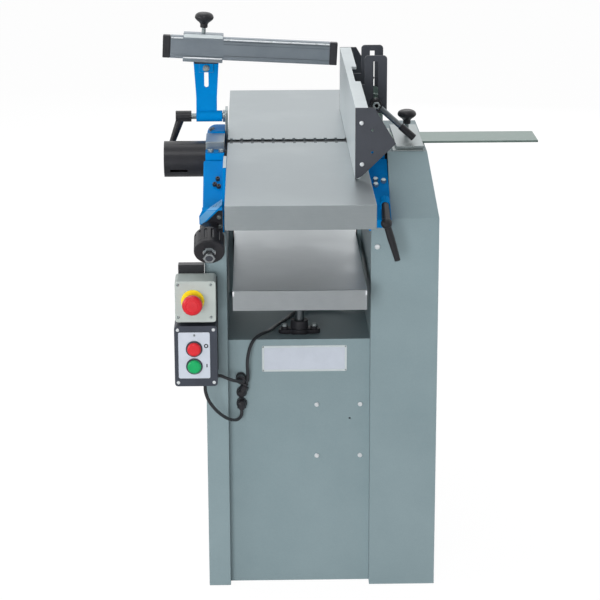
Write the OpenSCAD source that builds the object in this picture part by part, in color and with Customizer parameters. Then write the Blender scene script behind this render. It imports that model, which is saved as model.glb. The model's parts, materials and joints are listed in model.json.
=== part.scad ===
// Combination planer thicknesser: surface planing tables above, thicknessing bed below.
// Origin on the floor under the middle of the cutter block. +X right, +Y outfeed, +Z up.

/* [Tables] */
// Width of the planing tables
table_w = 260; // [240:1:270]
// Length of each planing table
table_l = 527; // [480:1:600]
// Height of the table surface above the columns
table_rise = 132; // [126:1:150]
// Thickness of the table plate
table_skin = 12; // [10:0.5:14]
// Depth of the apron round the table edge
table_apron = 43; // [34:1:46]
// Thickness of the apron
apron_wall = 10; // [6:1:14]
// Gap between the two table lips
mouth = 32; // [31:0.5:36]
// Spacing of the notches in the table lips
notch_pitch = 20.5; // [16:0.5:26]
// Width of a lip notch
notch_w = 5; // [3:0.5:7]
// Depth of a lip notch
notch_d = 9; // [5:0.5:12]

/* [Cutter and feed] */
// Diameter of the cutter body
cutter_d = 66; // [60:1:67]
// Diameter of the circle that the knife edges run on
knife_circle = 70; // [68.5:0.5:72]
// Number of planing knives
knife_n = 3; // [2:1:4]
// Diameter of the cutter journals
journal_d = 30; // [24:1:34]
// Diameter of the feed rollers
feed_d = 36; // [30:1:38]
// Distance of a feed roller from the cutter, along the feed
feed_y = 60; // [56:1:62]
// Diameter of the feed roller journals
feed_journal_d = 16; // [10:1:20]
// How far the feed rollers reach below the knife circle
feed_drop = 1; // [0.5:0.1:2]

/* [Cabinet] */
// Distance from the cutter's middle to the bay's left wall
bay_left = 132; // [131:1:136]
// Distance from the cutter's middle to the bay's right wall
bay_right = 140; // [138:1:146]
// Width of the left column
column_w = 42; // [36:1:60]
// Width of the right column
right_column_w = 36; // [32:1:37]
// Front to back depth of the columns
column_d = 406; // [400:1:430]
// Height of the columns
column_h = 718; // [700:1:725]
// Thickness of the cabinet sheet
sheet = 2.5; // [1.5:0.5:4]
// Height of the front and rear panels
panel_h = 499.5; // [460:0.5:520]
// How far the front panel stands back from the column face
panel_inset = 22; // [16:1:40]
// Depth of the folded lip on top of each panel
panel_lip = 30; // [15:1:36]
// Outside width of the drive cover
cover_w = 128; // [110:1:160]
// How far above the columns the drive cover starts to slope
shoulder_rise = 24; // [8:1:27]
// Depth of the slope at the front of the drive cover
cover_slope = 108; // [70:1:110]
// How far the drive cover's outer side leans in above the shoulder
cover_lean = 16; // [4:1:20]

// Spacing of the floor bolts across the machine
floor_hole_x = 220; // [180:1:230]
// Spacing of the floor bolts along the machine
floor_hole_y = 300; // [240:1:320]
// Diameter of the floor bolt holes
floor_hole_d = 12; // [8:1:16]

/* [Side frames] */
// Width of a side frame
frame_w = 36; // [30:1:38]
// Gap between the table edge and a side frame
frame_gap = 6; // [5.5:0.5:8]
// How far a side frame reaches behind the cutter
frame_back = 150; // [130:1:180]
// Height of the side frame below the table surface
frame_drop = 8; // [6:1:12]
// Slope of the infeed ways in degrees
way_angle = 27.7; // [24:0.1:30]
// Width of an infeed slide bar
bar_w = 37.5; // [30:0.5:37.5]
// Thickness of an infeed slide bar
bar_t = 20; // [16:1:22]
// How far the slide bars reach in front of the cutter
bar_front = 235; // [225:1:260]

/* [Thicknessing bed] */
// Width of the bed
bed_w = 250; // [230:1:258]
// Length of the bed
bed_l = 560; // [500:1:640]
// Height of the bed surface above the panels
bed_rise = 125.5; // [110:0.5:150]
// Depth of the bed casting
bed_t = 39; // [30:1:48]
// Thickness of the bed plate
bed_skin = 14; // [10:1:18]
// Diameter of the lifting posts
post_d = 18; // [14:1:24]
// Distance of each lifting post from the cutter, along the feed
post_y = 127; // [115:1:140]
// Length of the lifting posts
post_l = 300; // [250:1:320]
// Width of the post flange over its ears
flange_w = 81; // [66:1:90]
// Height of the post flange
flange_h = 26; // [16:1:30]

/* [Guard] */
// Length of the guard beam without its caps
beam_l = 314; // [260:1:380]
// Height of the guard beam
beam_h = 44; // [36:1:50]
// Thickness of the guard beam
beam_t = 16; // [12:1:20]
// Length of a guard beam end cap
cap_l = 15; // [8:1:25]
// Sag of the guard beam in degrees
beam_sag = 3; // [0:0.5:3]
// Distance of the guard pivot behind the cutter
pivot_y = 90; // [84:1:98]
// Height of the guard pivot above the table
pivot_rise = 32; // [28:1:40]
// Distance from the guard pivot up to the beam's middle
arm_l = 137; // [134:1:140]
// Diameter of the guard pivot rod
pivot_d = 12; // [8:1:14]

/* [Fence] */
// Length of the fence over its end plates
fence_l = 671; // [560:1:760]
// Height of the fence plate
fence_h = 130; // [100:1:131]
// Thickness of the fence plate
fence_t = 8; // [5:0.5:10]
// Width of the flange along the fence's top
flange_over = 23; // [16:0.5:26]
// Distance of the fence face from the cutter's middle
fence_x = 102; // [90:1:108]
// Thickness of the fence end plates
end_t = 4; // [2:0.5:6]
// Length of the fence carriage bar
slide_l = 332; // [300:1:400]
// Width of the fence carriage bar
slide_w = 90; // [80:1:110]
// Thickness of the fence carriage bar
slide_t = 4; // [3:0.5:6]
// Height of the fence clamp bolt above the table
clamp_rise = 83; // [78:1:90]
// Diameter of the fence clamp bolt
clamp_d = 8; // [6:0.5:10]
// Length of the fence clamp lever
lever_l = 98; // [80:1:104]

/* [Switches] */
// Width of the emergency stop box
stop_w = 76; // [66:1:84]
// Height of the emergency stop box
stop_h = 79; // [70:1:90]
// Width of the start and stop box
start_w = 80; // [70:1:84]
// Height of the start and stop box
start_h = 118; // [100:1:130]
// Depth of both switch boxes
switch_d = 58; // [46:1:70]
// Diameter of the emergency stop head
mushroom_d = 38; // [30:1:42]
// Diameter of the start and stop buttons
button_d = 26; // [18:1:28]

/* [Depth knob] */
// Diameter of the depth adjusting knob
knob_d = 57; // [48:1:58]
// Length of the depth adjusting knob
knob_l = 38; // [28:1:44]
// Number of grip flutes round the knob
knob_flutes = 14; // [8:1:20]

/* [Cords] */
// Diameter of the switch leads
lead_d = 6.5; // [5:0.5:8]

/* [Hidden] */
$fn = 64;
run = 0.05;
gap = 0.3;
half = table_w / 2;
table_z = column_h + table_rise;
cover_shoulder = column_h + shoulder_rise;
cut_z = table_z - knife_circle / 2;
column_y = column_d / 2;
column_x = bay_left + column_w;
panel_y = column_y - panel_inset;
bay_mid = (bay_right - bay_left) / 2;
cover_y = column_y + sheet;
cover_x = bay_right + cover_w;

guide_t = 3;
slide_z = table_z + 0.6;
cover_h = slide_z - gap - guide_t;

frame_in = half + frame_gap;
frame_out = frame_in + frame_w;
frame_top = table_z - frame_drop;
frame_front = feed_y + 18;
way_run = cos(way_angle);
way_rise = sin(way_angle);
bar_in = frame_in + 2;
bar_out = bar_in + bar_w;
bar_back = frame_front + 6;
bar_top = table_z - 20;

feed_z = cut_z - knife_circle / 2 - feed_drop + feed_d / 2;
lip = mouth / 2;
relief = knife_circle / 2 + 2;
journal_end = frame_out + 4;
nose_d = 24;
nose_l = 34;
pulley_x = frame_out + 16;
pulley_w = 26;
pulley_d = 44;
motor_pulley_d = 90;
belt_t = 6;
motor_z = 220;
motor_d = 150;
motor_l = 190;
shaft_d = 24;
cup_d = 70;
cup_l = 78;
cup_t = 3;

shelf_z = panel_h - sheet;
post_x = bay_mid + 2;
nut_d = 60;
nut_h = 14;
ear_d = 24;
ear_bolt_d = 8;

pivot_z = table_z + pivot_rise;
mount_t = 5;
arm_t = 5;
arm_top_w = 53;
arm_foot_w = 41;
arm_x = -half - 42;
sleeve_d = 22;
beam_z = pivot_z + arm_l;
beam_mid = -half + 45.5;
clamp_w = 78;
clamp_x = -half - 47;
clamp_t = 6;
arm_y = pivot_y + beam_t / 2 + clamp_t + 2 * gap;
hub_d = 22;
hub_l = 31;
hub_x = arm_x - arm_top_w / 2 - 4;
clamp_bolt_z = beam_z - beam_h / 2 - 20;

fence_y = -353;
fence_z = table_z + 1;
fence_back = fence_x + fence_t;
flange_t = 6;
bolt_x = fence_x + 53.5;
bolt_z = table_z + clamp_rise;
slide_y = -38;
ear_t = 6;
slot_t = 5;
slot_w = clamp_d + 1.2;
slot_plate_w = 43;
slot_plate_h = 111;
slot_plate_z = bolt_z - 19;
guide_x = [fence_x + 84, fence_x + 144];
guide_y = [slide_y - 59, slide_y + slide_w + 60];
cap_z = slide_z + slide_t + gap;

stop_x = -bay_left - 58;
start_x = -bay_left - 59;
stop_z = column_h - 113;
start_z = column_h - 220;
bed_z = panel_h + bed_rise;
bracket_y = -column_y - 21;
switch_y = bracket_y - switch_d;

gland_x = -107;
gland_y = -panel_y - 13;
gland_low = panel_h - 125.5;
gland_mid = gland_low + 22;
gland_high = gland_mid + 29;
gland_d = 20;
gland_l = 21;

axis_y = -bar_front;
axis_z = bar_top - (bar_front - bar_back) * tan(way_angle) - bar_t / 2 / cos(way_angle);
knob_x = -(bar_in + bar_w / 2) - 5.75;
neck_l = 27;
plate_t = 8;

steel = "#b4bcbf";
dark_steel = "#5d6468";
paint = "#8a9c9f";
blue = "#0f86d6";
black = "#2a2a2c";
zinc = "#c8cfd2";

// Points that the leads run through: their ends follow the switch box and the front panel
switch_move = start_z - 498;
panel_move = panel_h - 499.5;
lead_up = [[-175, -262, 435.4], [-174.5, -262, 423], [-170.4, -260, 408], [-163.5, -255, 394],
    [-154, -247, 379], [-142.4, -236, 365], [-130.6, -224, 354], [-120, -212, 348], [-112, -203, 348],
    [-107.6, -197, 352.5], [-107, -194.3, 357.5], [-107, -194, 362.6]];
lead_side = [[-149.5, -232, 444], [-145, -232, 444], [-137, -231, 440], [-129, -228, 435.5],
    [-121, -222, 431], [-113, -214, 427.2], [-108.1, -207, 425], [-108.1, -202.5, 425]];
lead_bed = [[-97.7, -194, 416.9], [-95.3, -194, 422.3], [-94.6, -195.6, 436], [-95.3, -198, 450],
    [-95, -199, 464], [-92.7, -199, 479], [-88.6, -196, 492], [-82, -188, 501.5], [-73, -174, 505.5],
    [-62, -158, 506.5], [-53, -138, 504], [-46, -116, 502], [-38, -94, 501], [-27, -72, 501],
    [-17, -48, 501], [-8, -22, 501], [4, 2, 501], [22, 18, 501], [46, 26, 501], [72, 25, 501],
    [96, 20, 502], [114, 16, 506], [127.6, 14, 510]];

function hung(p, a, b) = [for (i = [0:len(p) - 1]) p[i] + [0, 0, a + (b - a) * i / (len(p) - 1)]];
function unit(v) = v / norm(v);
function heading(p, i) = unit(p[min(i + 1, len(p) - 1)] - p[max(i - 1, 0)]);
function side_of(t, r) = unit(r - (r * t) * t);
function frames(p, i, r) = let (s = side_of(heading(p, i), r))
    i == len(p) - 1 ? [s] : concat([s], frames(p, i + 1, s));

module lead(p, d, n = 8) {
    s = frames(p, 0, [0.36, 0.8, 0.48]);
    rings = [for (i = [0:len(p) - 1]) let (b = cross(heading(p, i), s[i]))
        for (k = [0:n - 1]) p[i] + d / 2 * (cos(360 * k / n) * s[i] + sin(360 * k / n) * b)];
    last = len(p) - 1;
    walls = [for (i = [0:last - 1]) for (k = [0:n - 1]) let (a = i * n + k, b = i * n + (k + 1) % n)
        for (f = [[a, a + n, b], [b, a + n, b + n]]) f];
    ends = concat([for (k = [1:n - 2]) [0, k, k + 1]],
        [for (k = [1:n - 2]) [last * n, last * n + k + 1, last * n + k]]);
    polyhedron(points = rings, faces = concat(walls, ends));
}

// A box between two limits on each axis
module box(x, y, z) {
    translate([x[0], y[0], z[0]]) cube([x[1] - x[0], y[1] - y[0], z[1] - z[0]]);
}

// Round bars along each axis
module rod_x(d, x, y, z) {
    translate([x[0], y, z]) rotate([0, 90, 0]) cylinder(d = d, h = x[1] - x[0]);
}

module rod_y(d, x, y, z) {
    translate([x, y[1], z]) rotate([90, 0, 0]) cylinder(d = d, h = y[1] - y[0]);
}

module rod_z(d, x, y, z) {
    translate([x, y, z[0]]) cylinder(d = d, h = z[1] - z[0]);
}

// A profile in Y and Z drawn out along X
module prism_x(x, pts) {
    translate([x[0], 0, 0]) rotate([90, 0, 90]) linear_extrude(x[1] - x[0]) polygon(pts);
}

// A profile in X and Z drawn out along Y
module prism_y(y, pts) {
    translate([0, y[1], 0]) rotate([90, 0, 0]) linear_extrude(y[1] - y[0]) polygon(pts);
}

// A flat plate in X and Z with round corners
module round_plate(x, y, z, r) {
    translate([0, y[1], 0]) rotate([90, 0, 0]) linear_extrude(y[1] - y[0]) {
        translate([x[0] + r, z[0]]) square([x[1] - x[0] - 2 * r, z[1] - z[0]]);
        translate([x[0], z[0] + r]) square([x[1] - x[0], z[1] - z[0] - 2 * r]);
        for (u = [x[0] + r, x[1] - r])
            for (w = [z[0] + r, z[1] - r])
                translate([u, w]) circle(r);
    }
}

// Puts a piece drawn along +Z on the infeed screw line, at a place measured along it
module on_way(x, along) {
    translate([x, axis_y - along * way_run, axis_z - along * way_rise])
        rotate([90 + way_angle, 0, 0]) children();
}

// A planing table whose lip is at y0 and which runs to y1, either way along Y
module table(y0, y1) {
    lo = min(y0, y1);
    hi = max(y0, y1);
    toward = sign(y1 - y0);
    clear = frame_front + 30;
    difference() {
        union() {
            box([-half, half], [lo, hi], [table_z - table_skin, table_z]);
            difference() {
                box([-half, half], [lo, hi], [table_z - table_apron, table_z - table_skin / 2]);
                box([-half + apron_wall, half - apron_wall], [lo + apron_wall, hi - apron_wall],
                    [table_z - table_apron - 1, table_z]);
                box([-half - 1, half + 1], [min(y0, toward * clear) - 1, max(y0, toward * clear) + 1],
                    [table_z - table_apron - 1, table_z - table_skin]);
            }
            for (x = [-half / 3, half / 3])
                box([x - apron_wall / 2, x + apron_wall / 2],
                    [min(toward * clear, y1), max(toward * clear, y1)],
                    [table_z - table_apron + 4, table_z - table_skin / 2]);
        }
        rod_x(2 * relief, [-half - 1, half + 1], 0, cut_z);
        for (i = [-floor(half / notch_pitch):floor(half / notch_pitch)])
            if (abs(i * notch_pitch) + notch_w < half)
                box([i * notch_pitch - notch_w / 2, i * notch_pitch + notch_w / 2],
                    [min(y0, y0 + toward * notch_d) - 0.01, max(y0, y0 + toward * notch_d) + 0.01],
                    [table_z - table_skin - 1, table_z + 1]);
    }
}

module infeed_table() {
    color(steel) table(-lip, -lip - table_l);
}

module outfeed_table() {
    color(steel) table(lip, lip + table_l);
}

// Line of the infeed ways: height of the bar's top face at a distance along Y
function way_z(y) = bar_top + (y + bar_back) * tan(way_angle);

bar_depth = bar_t / cos(way_angle);
pocket_y = journal_d / 2 + 27;
pocket_z = cut_z - journal_d / 2 - 28;

// A side frame: its sloping way in front, a pocket for the cutter bearing, roller bores on both sides
module frame_profile(x) {
    way_gap = bar_depth + gap;
    difference() {
        prism_x(x, [[-column_y, column_h], [frame_back, column_h], [frame_back, frame_top - 14],
            [frame_back - 14, frame_top], [pocket_y, frame_top], [pocket_y, pocket_z], [-pocket_y, pocket_z],
            [-pocket_y, frame_top], [-frame_front, frame_top], [-frame_front, way_z(-frame_front) - way_gap],
            [-column_y, way_z(-column_y) - way_gap]]);
        for (y = [-feed_y, feed_y])
            rod_x(feed_journal_d + 2 * run, [x[0] - 1, x[1] + 1], y, feed_z);
    }
}

// Pads that hold the outfeed table between the frames
module frame_pads(x, spans) {
    for (y = spans)
        box(x, y, [table_z - table_apron + 6, frame_top - 2]);
}

pad_rear = [pivot_y + 30, frame_back - 4];
lug_top = table_z + 10;
lug_r = frame_w / 2;

// Rounded lug on the left frame, behind the cutter bearing
module bearing_lug() {
    prism_y([pocket_y, pivot_y + 26], concat([[-frame_in, frame_top - 12], [-frame_in, lug_top]],
        [for (a = [0:15:90]) [lug_r * (1 - sin(a)) - frame_out, lug_top - lug_r * (1 - cos(a))]],
        [[-frame_out, frame_top - 12]]));
}

module left_frame() {
    color(blue) {
        frame_profile([-frame_out, -frame_in]);
        bearing_lug();
        frame_pads([-frame_in, -half], [pad_rear]);
    }
}

module right_frame() {
    color(blue) {
        frame_profile([frame_in, frame_out]);
        frame_pads([half, frame_in], [pad_rear]);
    }
}

module bearing_housings() {
    color(steel) for (s = [-1, 1]) {
        x = [min(s * frame_in, s * frame_out), max(s * frame_in, s * frame_out)];
        difference() {
            union() {
                box(x, [-pocket_y, pocket_y], [pocket_z, s < 0 ? lug_top - 3 : frame_top - 6]);
                translate([s * (frame_out + journal_end) / 2, 0, 0])
                    rod_x(journal_d + 24, [-2, 2], 0, cut_z);
            }
            rod_x(journal_d + 2 * run, [-journal_end - 1, journal_end + 1], 0, cut_z);
        }
    }
}

module cutter_block() {
    color(dark_steel) {
        difference() {
            rod_x(cutter_d, [-half + 2, half - 2], 0, cut_z);
            for (k = [0:knife_n - 1])
                translate([0, 0, cut_z]) rotate([360 * k / knife_n + 20, 0, 0])
                    box([-half, half], [-1.6 - run, 1.6 + run], [cutter_d / 2 - 14, cutter_d]);
        }
        rod_x(journal_d, [-journal_end - 2, -half + 2], 0, cut_z);
        rod_x(nose_d, [-journal_end - 2 - nose_l, -journal_end - 2], 0, cut_z);
        rod_x(journal_d, [half - 2, journal_end + 2], 0, cut_z);
        rod_x(nose_d, [journal_end + 2, pulley_x + pulley_w + 6], 0, cut_z);
    }
}

module cutter_knives() {
    color(zinc) for (k = [0:knife_n - 1])
        translate([0, 0, cut_z]) rotate([360 * k / knife_n + 20, 0, 0])
            box([-half + 3, half - 3], [-1.6, 1.6], [cutter_d / 2 - 14, knife_circle / 2]);
}

// A flat belt pulley with a rim at each side
module pulley(d, z, bore) {
    difference() {
        union() {
            rod_x(d, [pulley_x, pulley_x + pulley_w], 0, z);
            for (x = [pulley_x, pulley_x + pulley_w - 2])
                rod_x(d + 6, [x, x + 2], 0, z);
        }
        rod_x(bore, [pulley_x - 1, pulley_x + pulley_w + 1], 0, z);
    }
}

module cutter_pulley() {
    color(dark_steel) pulley(pulley_d, cut_z, nose_d);
}

module motor_shaft() {
    color(dark_steel) {
        rod_x(shaft_d, [bay_right - 20, pulley_x + pulley_w + 6], 0, motor_z);
        pulley(motor_pulley_d, motor_z, shaft_d);
    }
}

// Outline of the belt round both pulleys, grown by a distance
module belt_outline(grow) {
    a = asin((motor_pulley_d - pulley_d) / 2 / (cut_z - motor_z));
    r = pulley_d / 2 + grow;
    q = motor_pulley_d / 2 + grow;
    u = r - 0.1;
    v = q - 0.1;
    polygon([[-u * cos(a), cut_z + u * sin(a)], [u * cos(a), cut_z + u * sin(a)],
        [v * cos(a), motor_z + v * sin(a)], [-v * cos(a), motor_z + v * sin(a)]]);
    translate([0, cut_z]) circle(r);
    translate([0, motor_z]) circle(q);
}

module drive_belt() {
    color(black) translate([pulley_x + 2 + gap, 0, 0]) rotate([90, 0, 90])
        linear_extrude(pulley_w - 4 - 2 * gap) difference() {
            belt_outline(belt_t);
            belt_outline(gap);
        }
}

module motor_body() {
    color(dark_steel) difference() {
        union() {
            rod_x(motor_d, [bay_right - 8 - motor_l, bay_right - 8], 0, motor_z);
            box([bay_right - 8, bay_right], [-motor_d / 2 - 15, motor_d / 2 + 15],
                [motor_z - motor_d / 2 - 15, motor_z + motor_d / 2 + 15]);
            for (k = [0:23])
                translate([0, 0, motor_z]) rotate([15 * k, 0, 0])
                    box([bay_right - motor_l, bay_right - 30], [-1.5, 1.5],
                        [motor_d / 2 - 2, motor_d / 2 + 7]);
        }
        rod_x(shaft_d + 2 * run, [bay_right - 22, bay_right + 1], 0, motor_z);
    }
}

module feed_roller_front() {
    color(dark_steel) feed_roller(-feed_y);
}

module feed_roller_rear() {
    color(dark_steel) feed_roller(feed_y);
}

module feed_roller(y) {
    difference() {
        rod_x(feed_d, [-half + 4, half - 4], y, feed_z);
        for (k = [0:11])
            translate([0, y, feed_z]) rotate([30 * k, 0, 0])
                box([-half, half], [-1.2, 1.2], [feed_d / 2 - 1.5, feed_d]);
    }
    rod_x(feed_journal_d, [-frame_out, -half + 4], y, feed_z);
    rod_x(feed_journal_d, [half - 4, frame_out], y, feed_z);
}

module spindle_guard() {
    x0 = -journal_end - cup_l;
    color(black) difference() {
        union() {
            rod_x(cup_d, [x0, -frame_out], 0, cut_z);
        }
        rod_x(cup_d - 2 * cup_t, [x0 + cup_t, -frame_out + 1], 0, cut_z);
        box([x0 + 12, x0 + 46], [-cup_d, -cup_d / 4], [cut_z - 20, cut_z - 15]);
    }
}

// Strip on a column's inner wall, beside the bed's rear end
strip_w = 8.5;
strip_y = [column_y - 53, column_y - 41];

module guide_strip(x) {
    box(x, strip_y, [panel_h + 1, column_h - sheet]);
}

// Cabinet sheet work
module left_column() {
    color(paint) {
        difference() {
            box([-column_x, -bay_left], [-column_y, column_y], [0, column_h]);
            box([-column_x + sheet, -bay_left - sheet], [-column_y + sheet, column_y - sheet],
                [-1, column_h - sheet]);
        }
        guide_strip([-bay_left - sheet / 2, -bay_left + strip_w]);
    }
}

module right_column() {
    x1 = bay_right + right_column_w;
    color(paint) {
        difference() {
            box([bay_right, x1], [-column_y, column_y], [0, column_h]);
            box([bay_right + sheet, x1 - sheet], [-column_y + sheet, column_y - sheet],
                [-1, column_h - sheet]);
            rod_x(shaft_d + 16, [bay_right - 1, x1 + 1], 0, motor_z);
        }
        guide_strip([bay_right - strip_w, bay_right + sheet / 2]);
    }
}

panel_screw_x = [38, 122];
panel_screw_z = [262.5, 367.5];
screw_d = 5;
panel_hole = [102, 338.5];

module panel_shape(s) {
    y0 = min(s * panel_y, s * (panel_y - sheet));
    difference() {
        union() {
            box([-bay_left, bay_right], [y0, y0 + sheet], [0, panel_h]);
            box([-bay_left, bay_right], [min(s * panel_y, s * (panel_y - panel_lip)),
                max(s * panel_y, s * (panel_y - panel_lip))], [panel_h - sheet, panel_h]);
        }
        if (s < 0) {
            for (x = panel_screw_x)
                for (z = panel_screw_z)
                    rod_y(screw_d + 2 * run, x, [y0 - 1, y0 + sheet + 1], z);
            rod_y(4, panel_hole[0], [y0 - 1, y0 + sheet + 1], panel_hole[1]);
        }
    }
}

module front_panel() {
    color(paint) panel_shape(-1);
}

module rear_panel() {
    color(paint) panel_shape(1);
}

// The shelf under the bed, and the floor plate with its bolt-down holes
module cabinet_plates() {
    inner = panel_y - sheet;
    color(paint) difference() {
        union() {
            box([-bay_left, bay_right], [-inner, inner], [shelf_z - sheet, shelf_z]);
            box([-bay_left, bay_right], [-inner, inner], [0, sheet]);
        }
        for (x = [-floor_hole_x / 2, floor_hole_x / 2])
            for (y = [-floor_hole_y / 2, floor_hole_y / 2])
                rod_z(floor_hole_d, bay_mid + x, y, [-1, sheet + 1]);
        for (y = [-post_y, post_y])
            rod_z(post_d + 14, post_x, y, [shelf_z - sheet - 1, shelf_z + 1]);
    }
}

// Outer form of the drive cover from its open left side, grown inwards by a wall
module cover_form(left, w) {
    y0 = -cover_y + w;
    top = cover_h - w;
    intersection() {
        prism_x([left, cover_x], [[y0, -1], [-y0, -1], [-y0, top], [y0 + cover_slope, top],
            [y0, cover_shoulder - w / 2]]);
        prism_y([-cover_y - 1, cover_y + 1], [[left, -2], [cover_x - w, -2], [cover_x - w, cover_shoulder],
            [cover_x - w - cover_lean, top], [left, top]]);
    }
}

module drive_cover() {
    neck = frame_out + 4;
    color(paint) difference() {
        cover_form(bay_right, 0);
        cover_form(bay_right - 5, sheet);
        box([bay_right - 1, neck], [-cover_y - 1, cover_y + 1], [cover_shoulder - 0.5, cover_h + 1]);
        box([bay_right - 1, neck], [-column_y, cover_y + 1], [column_h, cover_h + 1]);
        box([bay_right - 1, cover_x + 1], [-cover_y - 1, cover_y + 1], [-2, 0]);
    }
}

// Pan head screws of the front panel, and the bolt in the drive cover
module cabinet_screws() {
    color(zinc) {
        for (x = panel_screw_x)
            for (z = panel_screw_z) {
                rod_y(9, x, [-panel_y - 3, -panel_y], z);
                rod_y(screw_d, x, [-panel_y, -panel_y + sheet + 6], z);
            }
        rod_y(10, bay_right + 11.5, [-cover_y - 3, -cover_y], column_h - 30);
    }
}

// Thicknessing bed and its two lifting posts
module thicknesser_bed() {
    x = [post_x - 2 - bed_w / 2, post_x - 2 + bed_w / 2];
    color(steel) {
        difference() {
            box(x, [-bed_l / 2, bed_l / 2], [bed_z - bed_t, bed_z]);
            box([x[0] + apron_wall, x[1] - apron_wall], [-bed_l / 2 + apron_wall, bed_l / 2 - apron_wall],
                [bed_z - bed_t - 1, bed_z - bed_skin]);
        }
        for (y = [-post_y, post_y])
            rod_z(post_d + 30, post_x, y, [bed_z - bed_t, bed_z - bed_skin + 1]);
        box([post_x - apron_wall / 2, post_x + apron_wall / 2], [-post_y, post_y],
            [bed_z - bed_t + 4, bed_z - bed_skin + 1]);
    }
}

module lift_posts() {
    top = bed_z - bed_t;
    color(dark_steel) for (y = [-post_y, post_y])
        rod_z(post_d, post_x, y, [top - post_l, top]);
}

module post_flanges() {
    color(black) for (y = [-post_y, post_y]) {
        difference() {
            union() {
                rod_z(post_d + 24, post_x, y, [shelf_z, shelf_z + 10]);
                rod_z(post_d + 16, post_x, y, [shelf_z, shelf_z + flange_h]);
                for (s = [-1, 1])
                    rod_z(ear_d, post_x + s * (flange_w - ear_d) / 2, y, [shelf_z, shelf_z + 8]);
                box([post_x - (flange_w - ear_d) / 2, post_x + (flange_w - ear_d) / 2],
                    [y - ear_d / 2, y + ear_d / 2], [shelf_z, shelf_z + 8]);
                for (s = [-1, 1])
                    rod_z(14, post_x + s * (flange_w - ear_d) / 2, y, [shelf_z + 8, shelf_z + 13]);
            }
            rod_z(post_d + 2 * run, post_x, y, [shelf_z - 1, shelf_z + flange_h + 1]);
        }
        difference() {
            rod_z(post_d + 12, post_x, y, [shelf_z - nut_h - sheet - 2, shelf_z]);
            rod_z(post_d + 2 * run, post_x, y, [shelf_z - nut_h - 9, shelf_z + 1]);
        }
    }
}

module lift_nut(y) {
    top = shelf_z - sheet - gap;
    color(dark_steel) difference() {
        rod_z(nut_d, post_x, y, [top - nut_h, top]);
        rod_z(post_d + 12 + 2 * run, post_x, y, [top - nut_h - 1, top + 1]);
        for (k = [0:17])
            translate([post_x, y, 0]) rotate([0, 0, 20 * k])
                rod_z(5, nut_d / 2, 0, [top - nut_h - 1, top + 1]);
    }
}

module lift_nut_front() {
    lift_nut(-post_y);
}

module lift_nut_rear() {
    lift_nut(post_y);
}

module chain_outline(grow) {
    r = nut_d / 2 + grow;
    for (y = [-post_y, post_y])
        translate([post_x, y]) circle(r);
    translate([post_x - r, -post_y]) square([2 * r, 2 * post_y]);
}

module lift_chain() {
    color(dark_steel) translate([0, 0, shelf_z - sheet - gap - nut_h + 3]) linear_extrude(nut_h - 6)
        difference() {
            chain_outline(6);
            chain_outline(gap);
        }
}

// Infeed slide bars that carry the front table down its sloping ways, each with a web to the table's side
module slide_bar(x, web) {
    y1 = -bar_back;
    y0 = -bar_front;
    web_y = y0 + 45;
    web_z = table_z - table_skin;
    top = y0 - bar_t / 2 * way_rise;
    low = y0 + bar_t / 2 * way_rise;
    prism_x(x, [[y1, way_z(y1)], [top, way_z(top)], [low, way_z(low) - bar_depth],
        [y1, way_z(y1) - bar_depth]]);
    prism_x(web, [[y1, way_z(y1) - bar_depth], [web_y, way_z(web_y) - bar_depth], [web_y, web_z],
        [y1, web_z]]);
}

module infeed_bar_left() {
    color(blue) slide_bar([-bar_out, -bar_in], [-bar_in, -half]);
}

lock_x = bar_in + bar_w / 2 + 8;
lock_along = -46;
lock_lift = bar_t / 2 + 11;
lock_l = 68;

module infeed_bar_right() {
    color(blue) {
        slide_bar([bar_in, bar_out], [half, bar_in]);
        on_way(lock_x, lock_along) translate([0, lock_lift, 0]) difference() {
            union() {
                cylinder(d = 18, h = 16);
                box([-9, 9], [-12, 0], [0, 16]);
            }
            translate([0, 0, -1]) cylinder(d = 8 + 2 * run, h = 18);
        }
    }
}

module depth_plate() {
    color(black) difference() {
        union() {
            on_way(0, 0) box([-bar_out, -bar_in], [-bar_t / 2, bar_t / 2 + 34], [0, plate_t]);
            on_way(knob_x, plate_t / 2) cylinder(d = 36, h = neck_l + plate_t / 2);
        }
        on_way(knob_x, -1) cylinder(d = 10 + 2 * run, h = neck_l + plate_t + 2);
    }
}

module depth_knob() {
    start = plate_t + neck_l + gap;
    color(black) on_way(knob_x, start) difference() {
        union() {
            cylinder(d = knob_d, h = knob_l - 8);
            translate([0, 0, knob_l - 8]) cylinder(d1 = knob_d, d2 = knob_d - 6, h = 8);
        }
        for (k = [0:knob_flutes - 1])
            rotate([0, 0, 360 * k / knob_flutes]) translate([knob_d / 2 + 2.4, 0, 4])
                cylinder(d = 8, h = knob_l - 14);
        translate([0, 0, -1]) cylinder(d = 10, h = knob_l + 2);
    }
}

module depth_spindle() {
    start = plate_t + neck_l + gap;
    color(zinc) {
        on_way(knob_x, 0.5) cylinder(d = 10, h = start + knob_l - 0.5 + 18);
        on_way(knob_x, start + knob_l) difference() {
            union() {
                cylinder(d = 24, h = 2);
                translate([0, 0, 2]) cylinder(d = 20, h = 6, $fn = 6);
                translate([0, 0, 9]) cylinder(d = 23, h = 9, $fn = 6);
            }
            translate([0, 0, -1]) cylinder(d = 10, h = 30);
        }
    }
}

module lock_lever() {
    color(black) on_way(lock_x, lock_along) translate([0, lock_lift, 0]) {
        cylinder(d = 8, h = 17);
        translate([0, 0, 16 + gap]) cylinder(d1 = 14, d2 = 17, h = lock_l - 16);
        translate([0, 0, lock_l]) sphere(d = 21);
        translate([0, 0, lock_l]) rotate([62, 37.4, 0]) {
            cylinder(d1 = 13, d2 = 14, h = 30);
            translate([0, 0, 30]) cylinder(d1 = 14, d2 = 11, h = 46);
        }
    }
}

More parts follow.
